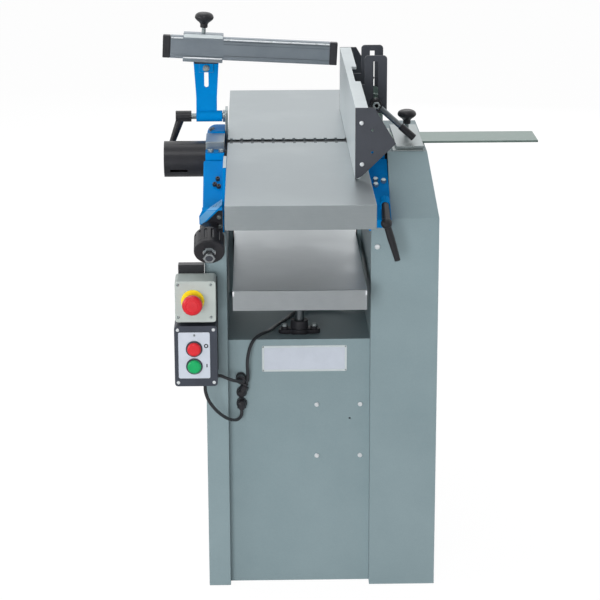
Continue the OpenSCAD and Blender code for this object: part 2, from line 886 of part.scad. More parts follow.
// Bridge guard: arm, clamp and beam
module guard_mount() {
    color(zinc) {
        round_plate_x([-half - mount_t, -half], [pivot_y - 26, pivot_y + 26],
            [table_z - table_apron + 4, pivot_z + 16], 8);
        rod_x(24, [-half - mount_t - 5, -half - mount_t], pivot_y, pivot_z);
        rod_x(pivot_d, [hub_x - 12, -half - mount_t - 5], pivot_y, pivot_z);
    }
}

// A flat plate in Y and Z with round corners
module round_plate_x(x, y, z, r) {
    translate([x[0], 0, 0]) rotate([90, 0, 90]) linear_extrude(x[1] - x[0]) {
        translate([y[0] + r, z[0]]) square([y[1] - y[0] - 2 * r, z[1] - z[0]]);
        translate([y[0], z[0] + r]) square([y[1] - y[0], z[1] - z[0] - 2 * r]);
        for (u = [y[0] + r, y[1] - r])
            for (w = [z[0] + r, z[1] - r])
                translate([u, w]) circle(r);
    }
}

module guard_arm() {
    bend = pivot_z + 44;
    top = beam_z - 4;
    slot = [clamp_bolt_z - 36, clamp_bolt_z + 8];
    color(blue) difference() {
        union() {
            rod_x(sleeve_d, [arm_x - arm_foot_w / 2, -half - mount_t - 6], pivot_y, pivot_z);
            intersection() {
                prism_x([arm_x - arm_top_w, arm_x + arm_top_w], [[pivot_y - 2, pivot_z + 8],
                    [pivot_y + 4, pivot_z + 8], [arm_y + arm_t, bend], [arm_y + arm_t, top], [arm_y, top],
                    [arm_y, bend]]);
                prism_y([0, 2 * arm_y], [[arm_x - arm_foot_w / 2, pivot_z],
                    [arm_x + arm_foot_w / 2, pivot_z], [arm_x + arm_foot_w / 2, bend - 10],
                    [arm_x + arm_top_w / 2, top], [arm_x - arm_top_w / 2, top],
                    [arm_x - arm_foot_w / 2, bend - 10]]);
            }
        }
        rod_x(pivot_d + 2 * run, [arm_x - arm_top_w, 0], pivot_y, pivot_z);
        box([arm_x - 4.2, arm_x + 4.2], [arm_y - 1, arm_y + arm_t + 1], slot);
        for (z = slot)
            rod_y(8.4, arm_x, [arm_y - 1, arm_y + arm_t + 1], z);
    }
}

// Turns a piece by the beam's sag about the middle of its clamp
module sagged() {
    translate([clamp_x, 0, beam_z]) rotate([0, beam_sag, 0]) children();
}

module guard_clamp() {
    y0 = pivot_y - beam_t / 2 - gap;
    y1 = pivot_y + beam_t / 2 + gap;
    h = beam_h / 2 + gap;
    w = clamp_w / 2;
    color(zinc) {
        sagged() difference() {
            box([-w, w], [y0 - 4, y1 + clamp_t], [-h - 5, h + 6]);
            box([-w - 1, w + 1], [y0, y1], [-h, h]);
            box([-w - 1, w + 1], [y0 - 5, y0 + 1], [-h + 5, h - 9]);
            rod_z(8 + 2 * run, 0, pivot_y, [h - 1, h + 7]);
        }
        box([arm_x - 14, arm_x + 14], [y1, y1 + clamp_t], [clamp_bolt_z - 9, beam_z - beam_h / 2]);
        rod_y(8, arm_x, [y1 + clamp_t, arm_y + arm_t + gap], clamp_bolt_z);
        rod_y(15, arm_x, [arm_y + arm_t + gap, arm_y + arm_t + 8], clamp_bolt_z);
        rod_y(13, arm_x, [y1 - 7, y1], clamp_bolt_z);
    }
}

module guard_beam() {
    x = [beam_mid - beam_l / 2 - clamp_x, beam_mid + beam_l / 2 - clamp_x];
    color(steel) sagged() difference() {
        box(x, [pivot_y - beam_t / 2, pivot_y + beam_t / 2], [-beam_h / 2, beam_h / 2]);
        box([x[0] - 1, x[1] + 1], [pivot_y - beam_t / 2 + 3, pivot_y + beam_t / 2 - 3],
            [-beam_h / 2 + 3, beam_h / 2 - 3]);
        box([x[0] - 1, x[1] + 1], [pivot_y - beam_t / 2 - 1, pivot_y - beam_t / 2 + 1],
            [-beam_h / 2 + 4, beam_h / 2 - 6]);
    }
}

module guard_caps() {
    ends = [beam_mid - beam_l / 2 - clamp_x - cap_l, beam_mid + beam_l / 2 - clamp_x];
    color(black) sagged() for (x = ends)
        box([x, x + cap_l], [pivot_y - beam_t / 2 - 0.2, pivot_y + beam_t / 2 + 0.2],
            [-beam_h / 2 - 0.2, beam_h / 2 + 0.2]);
}

// A clamping knob drawn upwards from its stud's tip
module star_knob(stud, body_d, body_h) {
    cylinder(d = 8, h = stud + 6);
    translate([0, 0, stud]) cylinder(d = 15, h = 8);
    translate([0, 0, stud + 8]) cylinder(d1 = 17, d2 = body_d, h = body_h * 0.45);
    translate([0, 0, stud + 8 + body_h * 0.45]) cylinder(d = body_d, h = body_h * 0.3);
    translate([0, 0, stud + 8 + body_h * 0.75]) cylinder(d1 = body_d, d2 = body_d - 10, h = body_h * 0.25);
}

module guard_knob() {
    color(black) sagged() translate([2, pivot_y, beam_h / 2 + 2 * gap]) translate([-2, 0, 0])
        star_knob(17, 37, 22);
}

module guard_lever() {
    color(black) difference() {
        union() {
            rod_x(hub_d, [hub_x - hub_l, hub_x], pivot_y, pivot_z);
            translate([hub_x - hub_l + hub_d / 2, pivot_y, pivot_z]) rotate([0, 180 + 20, 0]) {
                cylinder(d1 = 17, d2 = 12, h = 56);
                translate([0, 0, 56]) sphere(d = 12);
            }
        }
        rod_x(pivot_d + 2 * run, [hub_x - 14, hub_x + 1], pivot_y, pivot_z);
    }
}

// Fence and the carriage that slides it across the tables
module fence_guide() {
    y = [slide_y - gap, slide_y + slide_w + gap];
    color(zinc) {
        box(guide_x, guide_y, [cover_h, cover_h + guide_t]);
        difference() {
            union() {
                box([guide_x[0] + 7, guide_x[1]], guide_y, [cap_z, cap_z + guide_t]);
                box([guide_x[0] + 7, guide_x[1]], [guide_y[0] + 8, y[0]], [cover_h + guide_t, cap_z]);
                box([guide_x[0] + 7, guide_x[1]], [y[1], guide_y[1]], [cover_h + guide_t, cap_z]);
            }
            rod_z(8 + 2 * run, guide_x[1] - 23, slide_y + slide_w - 8, [cap_z - 1, cap_z + guide_t + 1]);
        }
    }
}

module fence_knob() {
    color(black) translate([guide_x[1] - 23, slide_y + slide_w - 8, cap_z + 4 * gap])
        star_knob(18 - 4 * gap, 37, 20);
}

ear_y = [slide_y, slide_y + slide_w - ear_t];
slot_y = [slide_y - 18.5, slide_y + slide_w + 16.5];
spacer_d = 18;

module fence_carriage() {
    x0 = bolt_x - 15;
    color(zinc) {
        box([x0, x0 + slide_l], [slide_y, slide_y + slide_w], [slide_z, slide_z + slide_t]);
        for (y = ear_y) {
            box([x0, x0 + 30], [y, y + ear_t], [slide_z + slide_t, bolt_z]);
            rod_y(30, bolt_x, [y, y + ear_t], bolt_z);
        }
        rod_y(spacer_d, bolt_x, [slot_y[0] + slot_t + gap, ear_y[0] + 1], bolt_z);
        rod_y(spacer_d, bolt_x, [ear_y[1] + ear_t - 1, slot_y[1] - gap], bolt_z);
        rod_y(clamp_d, bolt_x, [slot_y[0] - 26, slot_y[1] + slot_t + 8], bolt_z);
        rod_y(14, bolt_x, [slot_y[1] + slot_t + 1, slot_y[1] + slot_t + 9], bolt_z);
    }
}

module fence_sliders() {
    w = slot_w - 2 * run;
    color(dark_steel) for (y = slot_y)
        difference() {
            box([bolt_x - w / 2, bolt_x + w / 2], [y + 0.1, y + slot_t - 0.1], [bolt_z - 6, bolt_z + 6]);
            rod_y(clamp_d + 2 * run, bolt_x, [y - 1, y + slot_t + 1], bolt_z);
        }
}

module fence_slot_plates() {
    x0 = bolt_x - slot_plate_w / 2;
    color(dark_steel) for (y = slot_y)
        difference() {
            union() {
                round_plate([x0, x0 + slot_plate_w], [y, y + slot_t],
                    [slot_plate_z, slot_plate_z + slot_plate_h], 7);
                box([fence_back + 4, x0 + 9], [y, y + slot_t], [bolt_z - 2, bolt_z + 36]);
                box([fence_back, fence_back + 4], [y - 12, y + slot_t + 12], [bolt_z - 6, bolt_z + 37]);
            }
            box([bolt_x - slot_w / 2, bolt_x + slot_w / 2], [y - 1, y + slot_t + 1],
                [bolt_z - 7, bolt_z + 81]);
        }
}

// The fence's face with a flange along its top, cut back where the clamp passes as the fence tilts
module fence_plate() {
    y = [fence_y + end_t, fence_y + fence_l - end_t];
    top = fence_z + fence_h;
    x1 = fence_x + flange_over;
    color(steel) difference() {
        prism_y(y, [[fence_x, fence_z], [fence_back, fence_z], [fence_back, top - flange_t],
            [x1, top - flange_t], [x1, top], [fence_x, top]]);
        box([fence_back + 5, x1 + 1], [slot_y[0] - 27.5, slot_y[1] + slot_t + 7.5],
            [top - flange_t - 1, top + 1]);
    }
}

module fence_ends() {
    top = fence_z + fence_h;
    for_y = [fence_y, fence_y + fence_l - end_t];
    color(dark_steel) for (y = for_y)
        difference() {
            prism_y([y, y + end_t], [[fence_x, fence_z], [fence_x + 13, fence_z + 7],
                [fence_x + 72.5, fence_z + fence_h / 2], [fence_x + 34, top], [fence_x, top]]);
            for (z = [fence_z + 0.38 * fence_h, fence_z + 0.69 * fence_h])
                rod_y(5, fence_x + 30.5, [y - 1, y + end_t + 1], z);
        }
}

module fence_lever() {
    y1 = slot_y[0] - gap;
    y0 = y1 - 20;
    color(black) difference() {
        union() {
            rod_y(22, bolt_x, [y0, y1], bolt_z);
            translate([bolt_x, (y0 + y1) / 2, bolt_z]) rotate([0, 132, 0]) {
                cylinder(d = 11, h = lever_l - 34);
                translate([0, 0, lever_l - 34]) cylinder(d = 14, h = 34);
            }
        }
        rod_y(clamp_d + 2 * run, bolt_x, [y0 - 1, y1 + 1], bolt_z);
    }
}

// Switch gear on the left column
module switch_bracket() {
    z = [start_z - start_h / 2 + 14, stop_z + stop_h / 2 + 16];
    x = [stop_x - stop_w / 2 + 5, -bay_left - 18];
    color(black) difference() {
        box(x, [bracket_y, -column_y], z);
        box([x[0] + 2, x[1] - 2], [bracket_y + 2, -column_y + 1], [z[0] + 2, z[1] - 2]);
        box([-column_x, x[1] + 1], [bracket_y - 1, -column_y + 1], [z[1] - 28, z[1] + 1]);
    }
}

head_x = stop_x - 5;
head_z = stop_z + 2;
head_stem = 24;
head_travel = 5;

module stop_box() {
    color("#d9dbd2") difference() {
        round_plate([stop_x - stop_w / 2, stop_x + stop_w / 2], [switch_y, bracket_y],
            [stop_z - stop_h / 2, stop_z + stop_h / 2], 5);
        rod_y(head_stem + 2 * run, head_x, [switch_y - 1, switch_y + 14], head_z);
    }
}

module stop_collar() {
    color("#f2d21c") difference() {
        rod_y(mushroom_d + 5, head_x, [switch_y - 3, switch_y], head_z);
        rod_y(head_stem + 2 * run, head_x, [switch_y - 4, switch_y + 1], head_z);
    }
}

// Push buttons stand on a sleeve and travel back into their boxes
module stop_button() {
    color("#d8212c") translate([head_x, switch_y, head_z]) rotate([90, 0, 0]) {
        translate([0, 0, -8]) cylinder(d = head_stem, h = 30);
        translate([0, 0, 20]) cylinder(d1 = mushroom_d - 6, d2 = mushroom_d, h = 6);
        translate([0, 0, 26]) cylinder(d = mushroom_d, h = 7);
        translate([0, 0, 33]) cylinder(d1 = mushroom_d, d2 = mushroom_d - 8, h = 5);
    }
}

red_z = start_z + 15;
green_z = start_z - 19;
button_x = start_x - 3;

start_y = switch_y + 4;
bezel_d = button_d + 5;

module start_box() {
    color("#4a4d54") difference() {
        union() {
            round_plate([start_x - start_w / 2, start_x + start_w / 2], [start_y, bracket_y],
                [start_z - start_h / 2, start_z + start_h / 2], 6);
            for (z = [red_z, green_z])
                rod_y(bezel_d, button_x, [start_y - 4, start_y + 1], z);
        }
        for (z = [red_z, green_z])
            rod_y(button_d + 2 * run, button_x, [start_y - 5, start_y + 14], z);
    }
}

module start_face() {
    color("#e4e8ee") difference() {
        round_plate([button_x - 29.5, button_x + 29.5], [start_y - 1.2, start_y],
            [start_z - 43, start_z + 47], 3);
        for (z = [red_z, green_z])
            rod_y(bezel_d, button_x, [start_y - 3, start_y + 1], z);
    }
}

module push_cap(z, tint) {
    y0 = start_y;
    color(tint) {
        rod_y(button_d, button_x, [y0 - 7, y0 + 8], z);
        translate([button_x, y0 - 7, z]) rotate([90, 0, 0])
            cylinder(d1 = button_d, d2 = button_d - 5, h = 2.5);
    }
}

module red_button() {
    push_cap(red_z, "#d8323c");
}

module green_button() {
    push_cap(green_z, "#149a4e");
}

// Cable glands: one straight and two elbows on the front panel, two on the start box, one on the wall
module gland(z, turn, l) {
    rod_y(gland_d, gland_x, [gland_y + 4, -panel_y], z);
    translate([gland_x, gland_y, z]) {
        sphere(d = 17);
        rotate(turn) {
            cylinder(d = 13, h = l - 5.8);
            translate([0, 0, max(l - 13.8, 0)]) cylinder(d = 17, h = 8, $fn = 6);
            cylinder(d = 10, h = l);
        }
    }
}

module cable_glands() {
    color(black) {
        rod_y(gland_d, gland_x - 1, [-panel_y - 6, -panel_y], gland_high);
        rod_y(gland_d - 3, gland_x - 1, [-panel_y - gland_l, -panel_y - 6], gland_high);
        gland(gland_mid, [0, 24, 0], gland_l + 0.8);
        gland(gland_low, [180, 0, 0], 11);
        rod_z(12, start_x + 16, switch_y + 20, [start_z - start_h / 2 - 3, start_z - start_h / 2]);
        rod_x(9, [start_x + start_w / 2, start_x + start_w / 2 + 1], bracket_y - 8, start_z - 54);
        rod_x(16, [bay_right - 12, bay_right], 14, panel_h + 10.5);
    }
}

module lead_loop() {
    color(black) lead(hung(lead_up, switch_move, panel_move), lead_d);
}

module lead_short() {
    color(black) lead(hung(lead_side, switch_move, panel_move), lead_d);
}

module lead_long() {
    color(black) lead(hung(lead_bed, panel_move, panel_move), lead_d);
}

left_column();
right_column();
front_panel();
rear_panel();
cabinet_plates();
drive_cover();
cabinet_screws();
left_frame();
right_frame();
bearing_housings();
spindle_guard();
outfeed_table();
motor_body();
motor_shaft();
drive_belt();
cutter_block();
cutter_knives();
cutter_pulley();
feed_roller_front();
feed_roller_rear();
thicknesser_bed();
lift_posts();
post_flanges();
lift_nut_front();
lift_nut_rear();
lift_chain();
infeed_table();
infeed_bar_left();
infeed_bar_right();
depth_plate();
depth_knob();
depth_spindle();
lock_lever();
guard_mount();
guard_arm();
guard_clamp();
guard_beam();
guard_caps();
guard_knob();
guard_lever();
fence_guide();
fence_knob();
fence_carriage();
fence_sliders();
fence_slot_plates();
fence_plate();
fence_ends();
fence_lever();
switch_bracket();
stop_box();
stop_collar();
stop_button();
start_box();
start_face();
red_button();
green_button();
cable_glands();
lead_loop();
lead_short();
lead_long();
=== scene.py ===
"""Looks of a combination planer thicknesser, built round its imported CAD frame.

Every piece keeps the place of the CAD node or face that carries it. Lengths are written in millimetres and
turned to metres where a mesh is made.
"""

import json
import logging
from dataclasses import dataclass, field
from enum import Enum
from math import cos, pi, radians, sin
from typing import Dict, List, Optional, Sequence, Tuple

import bmesh
import bpy
from mathutils import Matrix, Vector

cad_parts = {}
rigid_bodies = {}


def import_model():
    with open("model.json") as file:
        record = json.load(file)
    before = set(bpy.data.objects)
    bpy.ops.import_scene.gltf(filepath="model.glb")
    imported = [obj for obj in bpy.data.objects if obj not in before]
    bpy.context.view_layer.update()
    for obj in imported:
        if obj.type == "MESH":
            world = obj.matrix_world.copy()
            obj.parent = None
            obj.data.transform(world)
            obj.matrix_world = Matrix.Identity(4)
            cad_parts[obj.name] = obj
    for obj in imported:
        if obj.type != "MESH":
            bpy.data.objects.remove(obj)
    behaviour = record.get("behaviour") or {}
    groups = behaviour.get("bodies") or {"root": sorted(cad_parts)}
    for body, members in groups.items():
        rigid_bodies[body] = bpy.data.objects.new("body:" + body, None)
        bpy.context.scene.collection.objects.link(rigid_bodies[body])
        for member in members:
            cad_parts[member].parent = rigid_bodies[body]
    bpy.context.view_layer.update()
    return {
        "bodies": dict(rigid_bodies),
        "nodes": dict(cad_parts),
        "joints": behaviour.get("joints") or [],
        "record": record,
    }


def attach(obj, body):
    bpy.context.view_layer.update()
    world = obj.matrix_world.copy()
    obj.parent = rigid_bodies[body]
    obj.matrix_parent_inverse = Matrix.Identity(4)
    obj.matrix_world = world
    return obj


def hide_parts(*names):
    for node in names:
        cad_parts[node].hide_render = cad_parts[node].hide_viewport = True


LOG = logging.getLogger("planer_thicknesser")
MM = 0.001

Point = Tuple[float, float, float]
Spot = Tuple[Point, Point]
Outline = Sequence[Tuple[float, float]]

# Directions in the part's frame
FRONT: Point = (0.0, -1.0, 0.0)
UP: Point = (0.0, 0.0, 1.0)

# Edges sharper than these angles, in degrees, are rounded on plates and castings, and crisp on turned pieces
PLATE_EDGE = 38.0
TURNED_EDGE = 40.0

# A CAD copy's corners closer than this are one, and faces flatter than this angle are joined
MERGE_MM = 0.002
FLAT_ANGLE = 0.4


class Surface(Enum):
    """How a surface was made, which decides the pattern that its material gets."""

    POWDER_COAT = "powder_coat"
    ENAMEL = "enamel"
    GROUND = "ground"
    TURNED = "turned"
    PLATED = "plated"
    DRAWN = "drawn"
    MOULDED = "moulded"


class HeadKind(Enum):
    """The shape of a fastener's head."""

    HEX = "hex"
    PAN = "pan"
    SOCKET = "socket"


# Number of sides of each head, then height and radius along it, as shares of its height and its width
HEAD_PROFILES = {
    HeadKind.HEX: (6, ((0, 0.5), (0.8, 0.5), (1, 0.43))),
    HeadKind.SOCKET: (18, ((0, 0.5), (0.85, 0.5), (1, 0.44), (1, 0.26), (0.45, 0.25), (0.45, 0))),
    HeadKind.PAN: (18, ((0, 0.5), (0.35, 0.5), (0.75, 0.42), (1, 0.25), (1, 0.11), (0.55, 0.09), (0.55, 0))),
}

# A clamping knob's neck, as height above its stud and radius, in millimetres
KNOB_NECK = ((0.0, 6.6), (0.7, 7.4), (8.0, 7.4))
# Its head, as share of the head's height and radius, up to the dish in its top
KNOB_HEAD = ((0.0, 8.3), (0.1, 9.6), (0.24, 13.6), (0.38, 17.0), (0.5, 18.4), (0.64, 18.4), (0.78, 17.2),
             (0.89, 14.8), (0.97, 11.5), (0.99, 9.5), (0.96, 7.0), (0.94, 0.0))
# Its stud, and how far that reaches into the neck
STUD_RADIUS = 4.0
STUD_OVERLAP = 1.0


@dataclass(frozen=True)
class Finish:
    """One material: what it is, how its surface was made, and the sizes of its pattern.

    Attributes:
        name: The material's name.
        surface: How the surface was made.
        colour: Main colour, an sRGB hex value.
        shade: The colour that the pattern drifts towards.
        metallic: Near 1 for bare metal, less under a film or a polish, 0 for paint and plastic.
        roughness: Mean roughness.
        spread: How far the pattern moves the roughness each way.
        grain_mm: Size of the fine pattern, in millimetres.
        drift_mm: Size of the slow colour drift, in millimetres.
        bump_mm: Depth of the fine pattern, in millimetres.
        coat: Weight of a clear coat.
    """

    name: str
    surface: Surface
    colour: str
    shade: str
    metallic: float
    roughness: float
    spread: float = 0.05
    grain_mm: float = 2.0
    drift_mm: float = 120.0
    bump_mm: float = 0.02
    coat: float = 0.0


@dataclass(frozen=True)
class Trim:
    """What a small added piece is made of and what it belongs to.

    Attributes:
        finish: Its finish.
        body: The CAD body that it moves with.
        slot: The record's material slot.
    """

    finish: Finish
    body: str
    slot: str


# Powder coat on sheet steel: a soft orange peel, even colour, low gloss
CABINET_PAINT = Finish("cabinet_powder_coat", Surface.POWDER_COAT, "#8a9ca1", "#7f9297", metallic=0.0,
                       roughness=0.46, spread=0.05, grain_mm=2.4, drift_mm=240.0, bump_mm=0.03)
# Two-pack enamel on castings: bright satin, a little uneven over the sand-cast skin
BLUE_ENAMEL = Finish("blue_enamel", Surface.ENAMEL, "#0082cb", "#0075bc", metallic=0.0, roughness=0.42,
                     spread=0.06, grain_mm=6.0, drift_mm=60.0, bump_mm=0.06)
# Ground cast iron: cool grey, a satin sheen, lines across the feed, drawn coarse enough to show
TABLE_IRON = Finish("ground_table_iron", Surface.GROUND, "#b6bec1", "#a7b0b4", metallic=0.84,
                    roughness=0.36, spread=0.06, grain_mm=0.9, drift_mm=160.0, bump_mm=0.01)
# The bed is ground too: barer metal, which mirrors the dark throat round it
BED_IRON = Finish("ground_bed_iron", Surface.GROUND, "#d2d8db", "#c2c9cd", metallic=0.95, roughness=0.3,
                  spread=0.07, grain_mm=0.9, drift_mm=130.0, bump_mm=0.012)
# Turned and hardened steel: rings along the axis, darker. The same finish draws the guard beam's groove lines
# as painted shade
TURNED_STEEL_AND_GROOVE_SHADE = Finish("turned_steel", Surface.TURNED, "#8b9296", "#6f767a", metallic=0.95,
                      roughness=0.32, spread=0.08, grain_mm=1.2, drift_mm=40.0, bump_mm=0.012)
# Blackened tool steel of the cutter block: dark, oiled
CUTTER_STEEL = Finish("blackened_cutter", Surface.TURNED, "#4a4e52", "#3c4043", metallic=0.7,
                      roughness=0.42, spread=0.06, grain_mm=1.2, drift_mm=40.0, bump_mm=0.012)
# Chrome plate: a near mirror
CHROME = Finish("bright_chrome", Surface.PLATED, "#dde2e4", "#cfd5d8", metallic=1.0, roughness=0.14,
                spread=0.04, grain_mm=3.0, drift_mm=20.0, bump_mm=0.004)
# Bright zinc plate: light, slightly mottled
ZINC_PLATE = Finish("bright_zinc", Surface.PLATED, "#b4bebf", "#a2acae", metallic=0.85, roughness=0.28,
                    spread=0.07, grain_mm=3.0, drift_mm=22.0, bump_mm=0.008)
# Passivated carriage bar: duller and a little green
DULL_ZINC = Finish("dull_zinc", Surface.PLATED, "#90a39d", "#839590", metallic=0.85, roughness=0.3,
                   spread=0.06, grain_mm=3.0, drift_mm=22.0, bump_mm=0.008)
# Polished screw heads, and near-white strips of painted highlight along the guard beam's top edge and the
# clamp's lower lip: nearly white under soft light
POLISHED_SCREW_AND_HIGHLIGHT = Finish("polished_screw", Surface.PLATED, "#e8ecee", "#d6dbde", metallic=0.35,
                        roughness=0.26, spread=0.06, grain_mm=2.0, drift_mm=12.0, bump_mm=0.006)
# Anodised aluminium: very even, drawn lines along the profile, coarse enough to show. The lighter fence
# finish also paints a highlight strip on the guard clamp's upper lip
FENCE_ALUMINIUM_AND_HIGHLIGHT = Finish("anodised_fence", Surface.DRAWN, "#e2eaec", "#d6dfe2", metallic=0.4,
                         roughness=0.42, spread=0.04, grain_mm=0.8, drift_mm=200.0, bump_mm=0.006)
GUARD_ALUMINIUM = Finish("anodised_guard", Surface.DRAWN, "#a2acb5", "#919ca6", metallic=0.85,
                         roughness=0.34, spread=0.05, grain_mm=0.8, drift_mm=90.0, bump_mm=0.008)
# Dark powder coat on cut plate: fine texture. The same finish paints the shade in the bore of the depth
# spindle's end, as a dark disc
DARK_PLATE_AND_BORE_SHADE = Finish("dark_plate_coat", Surface.POWDER_COAT, "#43464d", "#3b3e44", metallic=0.0,
                    roughness=0.5, spread=0.06, grain_mm=1.6, drift_mm=50.0, bump_mm=0.03)
# Glass-filled nylon of the knobs, levers and other black mouldings: near black, soft shine, moulded grain
BLACK_NYLON = Finish("black_nylon", Surface.MOULDED, "#232326", "#2c2c30", metallic=0.0, roughness=0.3,
                     spread=0.05, grain_mm=1.4, drift_mm=30.0, bump_mm=0.02)
# PVC sheath of the leads: black, smooth
LEAD_PVC = Finish("lead_pvc", Surface.MOULDED, "#34363a", "#2c2e31", metallic=0.0, roughness=0.26,
                  spread=0.04, grain_mm=1.2, drift_mm=40.0, bump_mm=0.008)
# Rubber of the belt: near black, matt. The same finish paints the shade in the gaps between the bed and the
# columns, as near-black strips
BELT_RUBBER_AND_GAP_SHADE = Finish("belt_rubber", Surface.MOULDED, "#202022", "#29292b", metallic=0.0, roughness=0.7,
                     spread=0.05, grain_mm=1.2, drift_mm=40.0, bump_mm=0.03)
# Enamel of the motor: mid grey, satin, slightly uneven
MOTOR_ENAMEL = Finish("motor_enamel", Surface.ENAMEL, "#5d6468", "#52595d", metallic=0.0, roughness=0.42,
                      spread=0.05, grain_mm=5.0, drift_mm=50.0, bump_mm=0.05)
# ABS of the switch boxes: light grey and dark grey, a fine spark-eroded grain
LIGHT_ABS = Finish("light_grey_abs", Surface.MOULDED, "#b5beba", "#acb5b1", metallic=0.0, roughness=0.44,
                   spread=0.04, grain_mm=1.0, drift_mm=40.0, bump_mm=0.015)
DARK_ABS = Finish("dark_grey_abs", Surface.MOULDED, "#3f444e", "#383c45", metallic=0.0, roughness=0.46,
                  spread=0.04, grain_mm=1.0, drift_mm=40.0, bump_mm=0.015)
# Moulded buttons: glossy, saturated
RED_BUTTON = Finish("red_button", Surface.MOULDED, "#d8242f", "#c71d29", metallic=0.0, roughness=0.28,
                    spread=0.03, grain_mm=2.0, drift_mm=20.0, bump_mm=0.006, coat=0.3)
GREEN_BUTTON = Finish("green_button", Surface.MOULDED, "#00ab62", "#009955", metallic=0.0,
                      roughness=0.28, spread=0.03, grain_mm=2.0, drift_mm=20.0, bump_mm=0.006, coat=0.3)
YELLOW_COLLAR = Finish("yellow_collar", Surface.MOULDED, "#ffe82c", "#f8dc20", metallic=0.0,
                       roughness=0.34, spread=0.03, grain_mm=2.0, drift_mm=20.0, bump_mm=0.006)
# Polyester film of the switch face: pale, smooth, a soft shine
FACE_PLATE = Finish("white_face_plate", Surface.MOULDED, "#c8cfda", "#bfc6d1", metallic=0.0,
                    roughness=0.34, spread=0.03, grain_mm=1.5, drift_mm=40.0, bump_mm=0.004)
# Frosted plastic of the depth scale: the blue paint shows through it
SCALE_STRIP = Finish("frosted_scale", Surface.MOULDED, "#6aaadb", "#5d9ed1", metallic=0.0, roughness=0.4,
                     spread=0.04, grain_mm=1.5, drift_mm=40.0, bump_mm=0.006)
# Soft plastic of the pads: white, matt
WHITE_PAD = Finish("white_pad", Surface.MOULDED, "#e6e8ea", "#dcdfe2", metallic=0.0, roughness=0.5,
                   spread=0.03, grain_mm=1.5, drift_mm=20.0, bump_mm=0.006)
# Ink of the scale's marks and the switch symbols: black, flat
BLACK_INK = Finish("black_ink", Surface.MOULDED, "#101012", "#16161a", metallic=0.0, roughness=0.6,
                   spread=0.03, grain_mm=2.0, drift_mm=20.0, bump_mm=0.01)

# Zinc-plated fasteners that stay with the machine
MACHINE_ZINC = Trim(ZINC_PLATE, "machine", "zinc")


def linear(code: str) -> Tuple[float, float, float, float]:
    """Turns an sRGB hex value to linear light.

    Args:
        code: A value such as "#8a9ca1".

    Returns:
        Red, green, blue and an alpha of 1.
    """
    parts = [int(code[i:i + 2], 16) / 255 for i in (1, 3, 5)]
    light = [c / 12.92 if c <= 0.04045 else ((c + 0.055) / 1.055) ** 2.4 for c in parts]
    return light[0], light[1], light[2], 1.0


def add_node(tree: bpy.types.NodeTree, kind: str, settings: Optional[dict] = None,
             links: Optional[dict] = None) -> bpy.types.Node:
    """Adds a node with its settings and links.

    Args:
        tree: The tree that takes the node.
        kind: The node's type, such as "ShaderNodeTexNoise".
        settings: Values by property name, or by input name where no such property exists.
        links: Output sockets by the name or number of the input that takes them.

    Returns:
        The new node.
    """
    node = tree.nodes.new(kind)
    for key, value in (settings or {}).items():
        if isinstance(key, str) and hasattr(node, key):
            setattr(node, key, value)
        else:
            node.inputs[key].default_value = value
    for key, socket in (links or {}).items():
        tree.links.new(socket, node.inputs[key])
    return node


def empty_tree(owner: bpy.types.ID) -> bpy.types.NodeTree:
    """Gives a material's or a world's node tree, emptied.

    Args:
        owner: The material or world.

    Returns:
        Its tree.
    """
    owner.use_nodes = True
    owner.node_tree.nodes.clear()
    return owner.node_tree


def place_object(name: str, data: bpy.types.ID) -> bpy.types.Object:
    """Makes an object at the origin and links it to the scene.

    Args:
        name: The object's name.
        data: Its mesh, curve, camera or light.

    Returns:
        The linked object.
    """
    piece = bpy.data.objects.new(name, data)
    bpy.context.scene.collection.objects.link(piece)
    return piece


